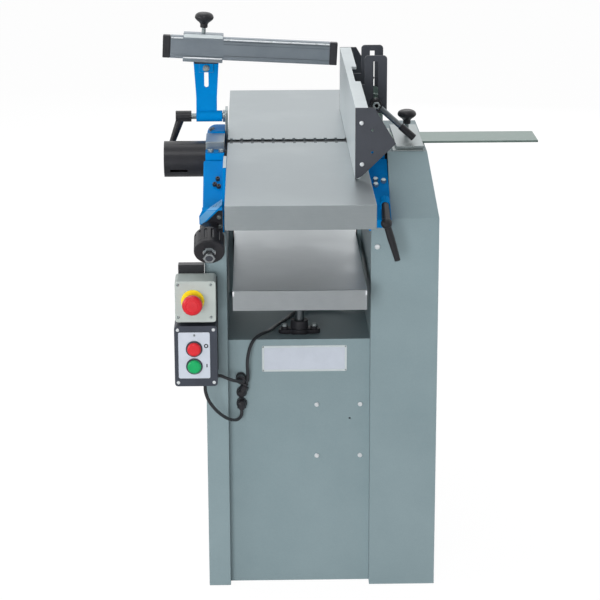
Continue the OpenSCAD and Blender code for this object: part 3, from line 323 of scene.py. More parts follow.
@dataclass
class Paintbox:
    """Makes each finish's material once and hands it out again.

    Attributes:
        grain_share: Share of the fine grain in the tint.
        tint_span: Pattern values at which the shade and the main colour are reached.
        gloss_span: Pattern values at which the lowest and highest roughness are reached.
        bump_strength: Strength of the fine grain's relief.
        coat_roughness: Roughness of a clear coat.
        made: The materials made so far, by name.
    """

    grain_share: float = 0.35
    tint_span: Tuple[float, float] = (0.42, 0.86)
    gloss_span: Tuple[float, float] = (0.3, 0.7)
    bump_strength: float = 0.6
    coat_roughness: float = 0.12
    made: Dict[str, bpy.types.Material] = field(default_factory=dict)

    def get(self, finish: Finish) -> bpy.types.Material:
        """Gives a finish's material, made on first use.

        Args:
            finish: The finish.

        Returns:
            Its material.
        """
        if finish.name not in self.made:
            self.made[finish.name] = self._make(finish)
        return self.made[finish.name]

    def _stretch(self, surface: Surface) -> Point:
        """How far a pattern is drawn out along each axis, as a scale on the coordinates."""
        stretches = {Surface.GROUND: (0.06, 1.0, 1.0), Surface.DRAWN: (0.05, 0.05, 1.0),
                     Surface.TURNED: (1.0, 0.12, 0.12)}
        return stretches.get(surface, (1.0, 1.0, 1.0))

    def _shine(self, surface: Surface) -> float:
        """Strength of the mirror layer: thick enamel over castings is duller than sheet and mouldings."""
        return 0.05 if surface is Surface.ENAMEL else 0.5

    def _make(self, finish: Finish) -> bpy.types.Material:
        """Builds a finish's node tree.

        Args:
            finish: The finish.

        Returns:
            The new material.
        """
        material = bpy.data.materials.new(finish.name)
        tree = empty_tree(material)
        place = add_node(tree, "ShaderNodeTexCoord")
        grain_map = add_node(tree, "ShaderNodeMapping", {"Scale": self._stretch(finish.surface)},
                             {"Vector": place.outputs["Object"]})
        grain = add_node(tree, "ShaderNodeTexNoise",
                         {"Scale": 1 / (finish.grain_mm * MM), "Detail": 3.0, "Roughness": 0.55},
                         {"Vector": grain_map.outputs["Vector"]})
        drift = add_node(tree, "ShaderNodeTexNoise",
                         {"Scale": 1 / (finish.drift_mm * MM), "Detail": 4.0, "Roughness": 0.6},
                         {"Vector": place.outputs["Object"]})
        blend = add_node(tree, "ShaderNodeMath", {"operation": "MULTIPLY_ADD", 1: self.grain_share},
                         {0: grain.outputs["Fac"], 2: drift.outputs["Fac"]})
        tint = add_node(tree, "ShaderNodeValToRGB", {}, {"Fac": blend.outputs["Value"]})
        colours = (finish.shade, finish.colour)
        for stop, spot, colour in zip(tint.color_ramp.elements, self.tint_span, colours):
            stop.position = spot
            stop.color = linear(colour)
        gloss = add_node(tree, "ShaderNodeMapRange",
                         {"From Min": self.gloss_span[0], "From Max": self.gloss_span[1],
                          "To Min": finish.roughness - finish.spread,
                          "To Max": finish.roughness + finish.spread},
                         {"Value": blend.outputs["Value"]})
        bump = add_node(tree, "ShaderNodeBump",
                        {"Strength": self.bump_strength, "Distance": finish.bump_mm * MM},
                        {"Height": grain.outputs["Fac"]})
        shader = add_node(tree, "ShaderNodeBsdfPrincipled",
                          {"Metallic": finish.metallic, "Coat Weight": finish.coat,
                           "Coat Roughness": self.coat_roughness,
                           "Specular IOR Level": self._shine(finish.surface)},
                          {"Base Color": tint.outputs["Color"], "Roughness": gloss.outputs["Result"],
                           "Normal": bump.outputs["Normal"]})
        add_node(tree, "ShaderNodeOutputMaterial", {}, {"Surface": shader.outputs["BSDF"]})
        return material


@dataclass
class Workshop:
    """What every sub-assembly needs: the frame, the paints, and the ways of making a piece."""

    frame: dict
    paints: Paintbox = field(default_factory=Paintbox)

    def body_of(self, node: str) -> str:
        """Finds the CAD body that holds a node."""
        bodies = self.frame["record"]["behaviour"]["bodies"]
        return next(body for body, nodes in bodies.items() if node in nodes)

    def slot_of(self, node: str) -> str:
        """Finds the record's material slot of a node."""
        parts = self.frame["record"]["subparts"]
        return next(part["material_slot"] for part in parts if part["node"] == node)

    def register(self, piece: bpy.types.Object, body: str, slot: str) -> None:
        """Lets a finished piece ride on a body.

        Args:
            piece: The finished object.
            body: The CAD body that it moves with.
            slot: The record's material slot; not used.
        """
        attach(piece, body)
        LOG.info("%s rides on %s", piece.name, body)

    def object_from(self, name: str, mesh: bpy.types.Mesh, finish: Finish) -> bpy.types.Object:
        """Makes an object at the origin from a mesh that holds its own place.

        Args:
            name: The object's name.
            mesh: Its mesh.
            finish: Its finish.

        Returns:
            The linked object.
        """
        mesh.materials.clear()
        mesh.materials.append(self.paints.get(finish))
        return place_object(name, mesh)

    def soften(self, piece: bpy.types.Object, bevel_mm: float, segments: int = 2,
               angle: float = PLATE_EDGE) -> bpy.types.Object:
        """Rounds a piece's sharp edges and evens out its shading.

        Args:
            piece: The object.
            bevel_mm: Width of the rounding.
            segments: Faces across the rounding.
            angle: Edges sharper than this, in degrees, are rounded, or stay crisp without a rounding.

        Returns:
            The same object.
        """
        piece.data.shade_smooth()
        piece.data.set_sharp_from_angle(angle=radians(angle))
        if bevel_mm > 0:
            bevel = piece.modifiers.new("rounded_edges", "BEVEL")
            bevel.width = bevel_mm * MM
            bevel.segments = segments
            bevel.limit_method = "ANGLE"
            bevel.angle_limit = radians(angle)
            bevel.miter_outer = "MITER_ARC"
            bevel.use_clamp_overlap = True
        even = piece.modifiers.new("even_shading", "WEIGHTED_NORMAL")
        even.keep_sharp = bevel_mm <= 0
        return piece

    def dress(self, node: str, finish: Finish, bevel_mm: float, segments: int = 2,
              corner_mm: float = 0.0) -> None:
        """Replaces a CAD node by a merged copy with rounded edges and a finish.

        Args:
            node: The CAD node.
            finish: Its finish.
            bevel_mm: Width of the rounded edges.
            segments: Faces across a rounded edge.
            corner_mm: Radius of the corners seen from the front, on a moulded casing.
        """
        mesh = self.frame["nodes"][node].data.copy()
        mesh.name = node + "_skin"
        form = bmesh.new()
        form.from_mesh(mesh)
        bmesh.ops.remove_doubles(form, verts=form.verts, dist=MERGE_MM * MM)
        bmesh.ops.dissolve_limit(form, angle_limit=radians(FLAT_ANGLE), verts=form.verts, edges=form.edges)
        if corner_mm > 0:
            round_corners(form, corner_mm)
        form.to_mesh(mesh)
        form.free()
        piece = self.object_from(node + "_skin", mesh, finish)
        self.soften(piece, bevel_mm, segments)
        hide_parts(node)
        self.register(piece, self.body_of(node), self.slot_of(node))

    def add(self, name: str, mesh: bpy.types.Mesh, trim: Trim, bevel_mm: float = 0.0,
            angle: float = PLATE_EDGE) -> bpy.types.Object:
        """Makes a small added piece from its finished mesh.

        Args:
            name: The piece's name.
            mesh: Its mesh, which holds its own place.
            trim: What it is made of and belongs to.
            bevel_mm: Width of the rounded edges.
            angle: Edges sharper than this, in degrees, are rounded, or stay crisp without a rounding.

        Returns:
            The new piece.
        """
        piece = self.soften(self.object_from(name, mesh, trim.finish), bevel_mm, angle=angle)
        self.register(piece, trim.body, trim.slot)
        return piece

    def slab(self, name: str, outline: Outline, place: Matrix, trim: Trim, thickness: float,
             bevel_mm: float) -> None:
        """Makes a flat piece from its outline.

        Args:
            name: The piece's name.
            outline: Corners in the piece's own plane, in millimetres.
            place: Where the plane lies, in millimetres.
            trim: What it is made of and belongs to.
            thickness: Its thickness in millimetres, out of the plane.
            bevel_mm: Width of the rounded edges.
        """
        form = bmesh.new()
        rings = [[form.verts.new((place @ Vector((u, w, level))) * MM) for u, w in outline]
                 for level in (0.0, thickness)]
        for ring in rings:
            form.faces.new(ring)
        for i, _ in enumerate(outline):
            n = (i + 1) % len(outline)
            form.faces.new((rings[0][i], rings[0][n], rings[1][n], rings[1][i]))
        self.add(name, closed_mesh(name, form), trim, bevel_mm)

    def lathe(self, name: str, profile: Outline, at: Point, aim: Point, trim: Trim,
              sides: int = 48) -> bpy.types.Object:
        """Turns a profile about an axis.

        Args:
            name: The piece's name.
            profile: Distance along the axis and radius, in millimetres, from one end to the other.
            at: The axis's start, in millimetres.
            aim: The axis's direction.
            trim: What it is made of and belongs to.
            sides: Faces round the axis.

        Returns:
            The new piece.
        """
        mesh = lathe_mesh(name, profile, sides)
        turn = Vector(UP).rotation_difference(Vector(aim)).to_matrix().to_4x4()
        mesh.transform(Matrix.Translation(Vector(at) * MM) @ turn)
        return self.add(name, mesh, trim, angle=TURNED_EDGE)

    def knob(self, node: str, at: Point, aim: Point, stud: float, head: float) -> None:
        """Replaces a clamping knob by a domed head with a dished top, on a plated stud.

        Args:
            node: The CAD node.
            at: Foot of the stud, in millimetres.
            aim: The stud's direction.
            stud: Bare length of the stud.
            head: Height of the head above its neck.
        """
        profile = [(stud + rise, radius) for rise, radius in KNOB_NECK]
        neck = profile[-1][0]
        profile += [(neck + share * head, radius) for share, radius in KNOB_HEAD]
        body = self.body_of(node)
        piece = self.lathe(node + "_head", profile, at, aim, Trim(BLACK_NYLON, body, self.slot_of(node)))
        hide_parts(node)
        pin = [(0, STUD_RADIUS), (stud + STUD_OVERLAP, STUD_RADIUS)]
        self.lathe(node + "_stud", pin, at, aim, Trim(ZINC_PLATE, body, "zinc"))

    def heads(self, name: str, kind: HeadKind, spots: Sequence[Spot], trim: Trim, width: float,
              height: float) -> None:
        """Sets the same fastener head at each spot with Geometry Nodes, as one plain mesh.

        Args:
            name: The piece's name.
            kind: The head's shape.
            spots: Seat of each head and the direction that it faces, in millimetres.
            trim: What the heads are made of and belong to.
            width: Width of a head over its corners or its rim.
            height: Height of a head.
        """
        mesh = bpy.data.meshes.new(name)
        mesh.from_pydata([Vector(at) * MM for at, _ in spots], [], [])
        aims = mesh.attributes.new("aim", "FLOAT_VECTOR", "POINT")
        for i, (_, aim) in enumerate(spots):
            aims.data[i].vector = Vector(aim).normalized()
        template = place_object(name + "_template", head_mesh(kind))
        holder = place_object(name + "_spots", mesh)
        tree = head_tree(name + "_tree", template, self.paints.get(trim.finish))
        setter = holder.modifiers.new("heads", "NODES")
        setter.node_group = tree
        sockets = {item.name: item.identifier for item in tree.interface.items_tree}
        setter[sockets["Head width"]] = width
        setter[sockets["Head height"]] = height
        done = bpy.data.meshes.new_from_object(holder.evaluated_get(bpy.context.evaluated_depsgraph_get()))
        done.name = name
        holder.modifiers.remove(setter)
        bpy.data.objects.remove(holder)
        bpy.data.objects.remove(template)
        self.add(name, done, trim, angle=TURNED_EDGE)


def rounded(width: float, height: float, radius: float, arc_steps: int = 6) -> List[Tuple[float, float]]:
    """Gives the outline of a rectangle with round corners, about its middle.

    Args:
        width: Its width in millimetres.
        height: Its height in millimetres.
        radius: Radius of the corners.
        arc_steps: Steps round each corner.

    Returns:
        The outline's points.
    """
    outline = []
    for quarter, (sx, sy) in enumerate(((1, 1), (-1, 1), (-1, -1), (1, -1))):
        for step in range(arc_steps + 1):
            a = radians(90 * (quarter + step / arc_steps))
            outline.append((sx * (width / 2 - radius) + radius * cos(a),
                            sy * (height / 2 - radius) + radius * sin(a)))
    return outline


def round_corners(form: bmesh.types.BMesh, radius: float, segments: int = 6) -> None:
    """Rounds the sharp edges that run from front to back on a casing.

    Args:
        form: The casing's mesh, changed in place.
        radius: Radius of the corners, in millimetres.
        segments: Faces round each corner.
    """
    least_angle, least_share_along_feed = radians(60), 0.99
    corners = [edge for edge in form.edges if edge.is_manifold and edge.calc_face_angle() > least_angle
               and abs((edge.verts[1].co - edge.verts[0].co).normalized().y) > least_share_along_feed]
    bmesh.ops.bevel(form, geom=corners, offset=radius * MM, offset_type="OFFSET", segments=segments,
                    profile=0.5, affect="EDGES")


def facing(at: Point, aim: Point, up: Point = UP) -> Matrix:
    """Gives a plane's place from its middle, the way it faces, and the way up on it.

    Args:
        at: The middle, in millimetres.
        aim: The direction out of the plane.
        up: The direction that stays upright in the plane.

    Returns:
        The placing matrix.
    """
    out = Vector(aim).normalized()
    right = Vector(up).cross(out).normalized()
    turn = Matrix((right, out.cross(right), out)).transposed().to_4x4()
    return Matrix.Translation(Vector(at)) @ turn


def closed_mesh(name: str, form: bmesh.types.BMesh) -> bpy.types.Mesh:
    """Turns a form's faces outwards and gives it as a mesh.

    Args:
        name: The mesh's name.
        form: The form, which is freed.

    Returns:
        The mesh.
    """
    bmesh.ops.recalc_face_normals(form, faces=form.faces)
    mesh = bpy.data.meshes.new(name)
    form.to_mesh(mesh)
    form.free()
    return mesh


def lathe_mesh(name: str, profile: Outline, sides: int) -> bpy.types.Mesh:
    """Turns a profile about +Z into a closed mesh.

    Args:
        name: The mesh's name.
        profile: Height and radius in millimetres; a radius of 0 closes an end in a point.
        sides: Faces round the axis.

    Returns:
        The mesh.
    """
    form = bmesh.new()
    rings = []
    for z, r in profile:
        turns = [2 * pi * k / sides for k in range(sides if r > 0 else 1)]
        rings.append([form.verts.new((r * cos(a) * MM, r * sin(a) * MM, z * MM)) for a in turns])
    for lower, upper in zip(rings, rings[1:]):
        for k in range(sides):
            n = (k + 1) % sides
            if len(lower) == 1:
                form.faces.new((lower[0], upper[k], upper[n]))
            elif len(upper) == 1:
                form.faces.new((lower[k], lower[n], upper[0]))
            else:
                form.faces.new((lower[k], lower[n], upper[n], upper[k]))
    for ring in (rings[0], rings[-1]):
        if len(ring) > 1:
            form.faces.new(ring)
    return closed_mesh(name, form)


def head_mesh(kind: HeadKind) -> bpy.types.Mesh:
    """Makes a fastener head 1 mm wide and 1 mm high that stands on Z = 0 and faces +Z."""
    sides, profile = HEAD_PROFILES[kind]
    return lathe_mesh(kind.value + "_head", profile, sides)


def head_tree(name: str, template: bpy.types.Object, material: bpy.types.Material) -> bpy.types.NodeTree:
    """Builds the tree that sets a head on each point, turned towards the point's aim.

    Args:
        name: The tree's name.
        template: The head.
        material: Its material.

    Returns:
        The tree.
    """
    tree = bpy.data.node_groups.new(name, "GeometryNodeTree")
    tree.interface.new_socket("Spots", in_out="INPUT", socket_type="NodeSocketGeometry")
    for size in ("Head width", "Head height"):
        tree.interface.new_socket(size, in_out="INPUT", socket_type="NodeSocketFloat")
    tree.interface.new_socket("Heads", in_out="OUTPUT", socket_type="NodeSocketGeometry")
    entry = add_node(tree, "NodeGroupInput")
    aim = add_node(tree, "GeometryNodeInputNamedAttribute", {"data_type": "FLOAT_VECTOR", "Name": "aim"})
    turn = add_node(tree, "FunctionNodeAlignRotationToVector", {"axis": "Z"},
                    {"Vector": aim.outputs["Attribute"]})
    head = add_node(tree, "GeometryNodeObjectInfo", {"Object": template})
    points = add_node(tree, "GeometryNodeMeshToPoints", {}, {"Mesh": entry.outputs["Spots"]})
    width = entry.outputs["Head width"]
    size = add_node(tree, "ShaderNodeCombineXYZ", {},
                    {"X": width, "Y": width, "Z": entry.outputs["Head height"]})
    spread = add_node(tree, "GeometryNodeInstanceOnPoints", {},
                      {"Points": points.outputs["Points"], "Instance": head.outputs["Geometry"],
                       "Rotation": turn.outputs["Rotation"], "Scale": size.outputs["Vector"]})
    real = add_node(tree, "GeometryNodeRealizeInstances", {}, {"Geometry": spread.outputs["Instances"]})
    paint = add_node(tree, "GeometryNodeSetMaterial", {"Material": material},
                     {"Geometry": real.outputs["Geometry"]})
    add_node(tree, "NodeGroupOutput", {}, {"Heads": paint.outputs["Geometry"]})
    return tree


@dataclass(frozen=True)
class Lamp:
    """A square soft lamp.

    Attributes:
        name: Its name.
        at: Its place in metres.
        target: The point that it faces, in metres.
        size: Its side in metres.
        power: Its power in watts.
        mirrored: Whether bright metal shows it.
    """

    name: str
    at: Point
    target: Point
    size: float
    power: float
    mirrored: bool = False


@dataclass
class Studio:
    """Camera, light and floor. The camera was fitted to the photograph's straight edges.

    Attributes:
        eye_mm: The camera's place in millimetres.
        yaw: Its turn to the right, in degrees.
        pitch: Its tilt downwards, in degrees.
        roll: Its turn about the line of sight, in degrees.
        lens_mm: Focal length.
        sensor_mm: Width of the sensor.
        far_end: How far the camera sees, in metres.
        room_light: Strength of the light that the room sheds on the object.
        room_grey: Brightness of the room's front in reflections.
        wall_span: Where the room turns from grey to white, from front to back.
        floor_half: Half the floor's side, in metres.
        floor_glow: Brightness of the floor's own light to the eye.
        floor_glow_share: Share of that light in what the eye sees; the rest is lit floor.
        lamps: The soft lamps.
    """

    eye_mm: Point = (-79.16, -4004.72, 1685.31)
    yaw: float = 1.28
    pitch: float = 16.15
    roll: float = 0.18
    lens_mm: float = 125.32
    sensor_mm: float = 36.0
    far_end: float = 60.0
    room_light: float = 0.3
    room_grey: float = 0.3
    wall_span: Tuple[float, float] = (-0.5, 0.3)
    floor_half: float = 12.0
    floor_glow: float = 1.12
    floor_glow_share: float = 0.86
    lamps: Tuple[Lamp, ...] = (
        Lamp("front_box", (-0.9, -4.6, 0.9), (0.0, 0.0, 0.6), 2.4, 168),
        Lamp("left_box", (-3.4, -1.6, 1.6), (0.0, 0.0, 0.6), 1.6, 26, mirrored=True),
        Lamp("top_box", (-0.4, 1.2, 3.4), (0.0, 0.2, 0.8), 1.6, 8, mirrored=True),
        Lamp("crown_box", (-0.5, -2.4, 3.6), (0.0, 0.0, 0.8), 1.2, 13, mirrored=True),
        Lamp("sky_box", (-1.3, 0.7, 3.4), (0.0, 0.0, 0.8), 1.8, 22),
        Lamp("right_box", (4.2, 0.5, 1.4), (0.0, 0.0, 0.5), 2.0, 32),
        Lamp("back_box", (0.9, 4.4, 1.6), (0.0, 0.0, 0.5), 2.0, 60))

    def camera(self) -> None:
        """Makes the camera at the photograph's viewing angle."""
        yaw, pitch, roll = radians(self.yaw), radians(self.pitch), radians(self.roll)
        ahead = Vector((sin(yaw) * cos(pitch), cos(yaw) * cos(pitch), -sin(pitch)))
        right = ahead.cross(Vector(UP)).normalized()
        down = ahead.cross(right)
        right_rolled = right * cos(roll) + down * sin(roll)
        down_rolled = down * cos(roll) - right * sin(roll)
        turn = Matrix((right_rolled, -down_rolled, -ahead)).transposed().to_4x4()
        data = bpy.data.cameras.new("photo_camera")
        data.lens = self.lens_mm
        data.sensor_width = self.sensor_mm
        data.clip_end = self.far_end
        camera = place_object("photo_camera", data)
        camera.matrix_world = Matrix.Translation(Vector(self.eye_mm) * MM) @ turn
        bpy.context.scene.camera = camera

    def light(self) -> None:
        """Makes the lamps and the world."""
        for lamp in self.lamps:
            data = bpy.data.lights.new(lamp.name, "AREA")
            data.size = lamp.size
            data.energy = lamp.power
            box = place_object(lamp.name, data)
            box.location = lamp.at
            box.visible_glossy = lamp.mirrored
            box.rotation_euler = (Vector(lamp.target) - Vector(lamp.at)).to_track_quat("-Z", "Y").to_euler()
        self.world()

    def world(self) -> None:
        """Makes a world that is white to the eye and in reflections, dimmer in front."""
        world = bpy.data.worlds.new("white_studio")
        bpy.context.scene.world = world
        tree = empty_tree(world)
        path = add_node(tree, "ShaderNodeLightPath")
        seen = add_node(tree, "ShaderNodeMath", {"operation": "MAXIMUM"},
                        {0: path.outputs["Is Camera Ray"], 1: path.outputs["Is Glossy Ray"]})
        through = add_node(tree, "ShaderNodeMath", {"operation": "MAXIMUM"},
                           {0: seen.outputs["Value"], 1: path.outputs["Is Transmission Ray"]})
        soft = add_node(tree, "ShaderNodeBackground",
                        {"Color": linear("#f4f6f8"), "Strength": self.room_light})
        aim = add_node(tree, "ShaderNodeTexCoord")
        axes = add_node(tree, "ShaderNodeSeparateXYZ", {}, {"Vector": aim.outputs["Generated"]})
        wall = add_node(tree, "ShaderNodeMapRange",
                        {"From Min": self.wall_span[0], "From Max": self.wall_span[1],
                         "To Min": self.room_grey, "To Max": 1.0},
                        {"Value": axes.outputs["Y"]})
        white = add_node(tree, "ShaderNodeBackground", {"Color": (1, 1, 1, 1)},
                         {"Strength": wall.outputs["Result"]})
        mixed = add_node(tree, "ShaderNodeMixShader", {},
                         {0: through.outputs["Value"], 1: soft.outputs["Background"],
                          2: white.outputs["Background"]})
        add_node(tree, "ShaderNodeOutputWorld", {}, {"Surface": mixed.outputs["Shader"]})

    def floor(self) -> None:
        """Makes a pale floor that stays near white to the eye and keeps a soft shadow."""
        mesh = bpy.data.meshes.new("studio_floor")
        half = self.floor_half
        mesh.from_pydata([(-half, -half, 0), (half, -half, 0), (half, half, 0), (-half, half, 0)], [],
                         [(0, 1, 2, 3)])
        material = bpy.data.materials.new("studio_white")
        tree = empty_tree(material)
        path = add_node(tree, "ShaderNodeLightPath")
        part = add_node(tree, "ShaderNodeMath", {"operation": "MULTIPLY", 1: self.floor_glow_share},
                        {0: path.outputs["Is Camera Ray"]})
        matt = add_node(tree, "ShaderNodeBsdfDiffuse", {"Color": linear("#b4b4b4")})
        glow = add_node(tree, "ShaderNodeEmission", {"Color": (1, 1, 1, 1), "Strength": self.floor_glow})
        mixed = add_node(tree, "ShaderNodeMixShader", {},
                         {0: part.outputs["Value"], 1: matt.outputs["BSDF"], 2: glow.outputs["Emission"]})
        add_node(tree, "ShaderNodeOutputMaterial", {}, {"Surface": mixed.outputs["Shader"]})
        mesh.materials.append(material)
        place_object("studio_floor", mesh)


@dataclass
class Wiring:
    """Three leads between the switch boxes, the front panel and the drive side.

    Attributes:
        shop: The workshop.
        diameter: Thickness of a lead.
        steps: Steps between two points of a route.
        roundness: Blender's resolution round a lead.
        loop: Route of the lead that hangs in a loop.
        short: Route of the lead to the middle gland.
        long: Route of the lead that goes under the bed.
    """

    shop: Workshop
    diameter: float = 6.5
    steps: int = 3
    roundness: int = 5
    loop: Tuple[Point, ...] = (
        (-175, -262, 435.4), (-174.5, -262, 423), (-170.4, -260, 408), (-163.5, -255, 394), (-154, -247, 379),
        (-142.4, -236, 365), (-130.6, -224, 354), (-120, -212, 348), (-112, -203, 348), (-107.6, -197, 352.5),
        (-107, -194.3, 357.5), (-107, -194, 362.6))
    short: Tuple[Point, ...] = (
        (-149.5, -232, 444), (-145, -232, 444), (-137, -231, 440), (-129, -228, 435.5), (-121, -222, 431),
        (-113, -214, 427.2), (-108.1, -207, 425), (-108.1, -202.5, 425))
    long: Tuple[Point, ...] = (
        (-97.7, -194, 416.9), (-95.3, -194, 422.3), (-94.6, -195.6, 436), (-95.3, -198, 450),
        (-95, -199, 464), (-92.7, -199, 479), (-88.6, -196, 492), (-82, -188, 501.5), (-73, -174, 505.5),
        (-62, -158, 506.5), (-53, -138, 504), (-46, -116, 502), (-38, -94, 501), (-27, -72, 501),
        (-17, -48, 501), (-8, -22, 501), (4, 2, 501), (22, 18, 501), (46, 26, 501), (72, 25, 501),
        (96, 20, 502), (114, 16, 506), (127.6, 14, 510))

    def smooth(self, route: Sequence[Point]) -> List[Vector]:
        """Puts points on a smooth line through a route.

        Args:
            route: The route's points in millimetres.

        Returns:
            The closer points in metres.
        """
        knots = [Vector(p) * MM for p in route]
        knots = [2 * knots[0] - knots[1]] + knots + [2 * knots[-1] - knots[-2]]
        line = []
        for i in range(1, len(knots) - 2):
            a, b, c, d = knots[i - 1:i + 3]
            for step in range(self.steps):
                t = step / self.steps
                line.append(0.5 * (2 * b + (c - a) * t + (2 * a - 5 * b + 4 * c - d) * t ** 2
                                   + (3 * b - a - 3 * c + d) * t ** 3))
        return line + [knots[-2]]

    def lead(self, node: str, route: Sequence[Point]) -> None:
        """Args:
            node: The CAD node that it replaces.
            route: Its points in millimetres.
        """
        line = self.smooth(route)
        data = bpy.data.curves.new(node + "_sheath", "CURVE")
        data.dimensions = "3D"
        data.bevel_depth = self.diameter / 2 * MM
        data.bevel_resolution = self.roundness
        data.use_fill_caps = True
        spline = data.splines.new("POLY")
        spline.points.add(len(line) - 1)
        for spot, point in zip(line, spline.points):
            point.co = (*spot, 1)
        spline.use_smooth = True
        data.materials.append(self.shop.paints.get(LEAD_PVC))
        piece = place_object(node + "_sheath", data)
        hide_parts(node)
        self.shop.register(piece, "machine", "black_rubber")

    def build(self) -> None:
        """Makes the three leads."""
        self.lead("lead_loop", self.loop)
        self.lead("lead_short", self.short)
        self.lead("lead_long", self.long)


@dataclass
class Cabinet:
    """Columns, panels, drive cover, their screws, and a blank plate on the front."""

    shop: Workshop
    front_y: float = -181.0
    plate_low: Tuple[float, float] = (-67.0, 435.0)
    plate_high: Tuple[float, float] = (96.0, 487.0)
    plate_thickness: float = 0.8
    plate_corner: float = 2.5
    plate_rim: float = 4.0
    field_corner: float = 1.5
    field_rise: float = 0.2
    rivet_inset: float = 2.4

    def build(self) -> None:
        """Dresses the sheet work and adds the front's details."""
        shop = self.shop
        for node in ("left_column", "right_column", "drive_cover"):
            shop.dress(node, CABINET_PAINT, bevel_mm=2.4, segments=3)
        for node in ("front_panel", "rear_panel"):
            shop.dress(node, CABINET_PAINT, bevel_mm=1.8, segments=3)
        shop.dress("cabinet_plates", CABINET_PAINT, bevel_mm=1.1)
        shop.dress("cabinet_screws", POLISHED_SCREW_AND_HIGHLIGHT, bevel_mm=1.0)
        self.blank_plate()

    def blank_plate(self) -> None:
        """Adds a bare aluminium plate with a raised field and a rivet in each corner."""
        (x0, z0), (x1, z1) = self.plate_low, self.plate_high
        wide, high = x1 - x0, z1 - z0
        place = facing(((x0 + x1) / 2, self.front_y, (z0 + z1) / 2), FRONT)
        self.shop.slab("blank_plate", rounded(wide, high, self.plate_corner), place,
                       Trim(FENCE_ALUMINIUM_AND_HIGHLIGHT, "machine", "zinc"), self.plate_thickness, bevel_mm=0.25)
        inner = rounded(wide - 2 * self.plate_rim, high - 2 * self.plate_rim, self.field_corner)
        self.shop.slab("blank_plate_field", inner, place, Trim(FACE_PLATE, "machine", "label_white"),
                       self.plate_thickness + self.field_rise, bevel_mm=0.05)
        seat, inset = self.front_y - self.plate_thickness, self.rivet_inset
        spots = [((x, seat, z), FRONT) for x in (x0 + inset, x1 - inset) for z in (z0 + inset, z1 - inset)]
        self.shop.heads("blank_plate_rivets", HeadKind.PAN, spots, MACHINE_ZINC, width=3.2, height=1.0)


@dataclass
class SideFrames:
    """Blue castings, bearing housings and the cup over the spindle's end."""

    shop: Workshop
    frame_top: float = 842.0
    nut_x: Tuple[float, float] = (141.5, 162.0)
    nut_y: float = -66.0
    lug_at: Point = (-160.9, 66.8, 858.2)
    lug_aim: Point = (-0.38, 0.0, 0.92)

    def build(self) -> None:
        """Dresses the castings and sets their bolts."""
        shop = self.shop
        for node in ("left_frame", "right_frame"):
            shop.dress(node, BLUE_ENAMEL, bevel_mm=4.0, segments=3)
        shop.dress("bearing_housings", TABLE_IRON, bevel_mm=2.0)
        shop.dress("spindle_guard", BLACK_NYLON, bevel_mm=2.5, segments=3)
        nuts = [((side * x, self.nut_y, self.frame_top), UP) for side in (-1, 1) for x in self.nut_x]
        shop.heads("frame_nuts", HeadKind.HEX, nuts, MACHINE_ZINC, width=11.0, height=6.0)
        shop.heads("lug_bolt", HeadKind.SOCKET, [(self.lug_at, self.lug_aim)],
                   Trim(TURNED_STEEL_AND_GROOVE_SHADE, "machine", "cutter_steel"), width=11.0, height=5.0)


@dataclass
class PlaningTables:
    """The two surfacing tables."""

    shop: Workshop

    def build(self) -> None:
        """Dresses both tables."""
        for node in ("infeed_table", "outfeed_table"):
            self.shop.dress(node, TABLE_IRON, bevel_mm=0.8)


@dataclass
class CutterDrive:
    """Cutter, feed rollers, motor and belt."""

    shop: Workshop

    def build(self) -> None:
        """Dresses the turning parts."""
        for node in ("cutter_knives", "cutter_pulley", "motor_shaft", "feed_roller_front",
                     "feed_roller_rear"):
            self.shop.dress(node, TURNED_STEEL_AND_GROOVE_SHADE, bevel_mm=0.4)
        self.shop.dress("cutter_block", CUTTER_STEEL, bevel_mm=0.4)
        self.shop.dress("motor_body", MOTOR_ENAMEL, bevel_mm=1.0)
        self.shop.dress("drive_belt", BELT_RUBBER_AND_GAP_SHADE, bevel_mm=0.6)


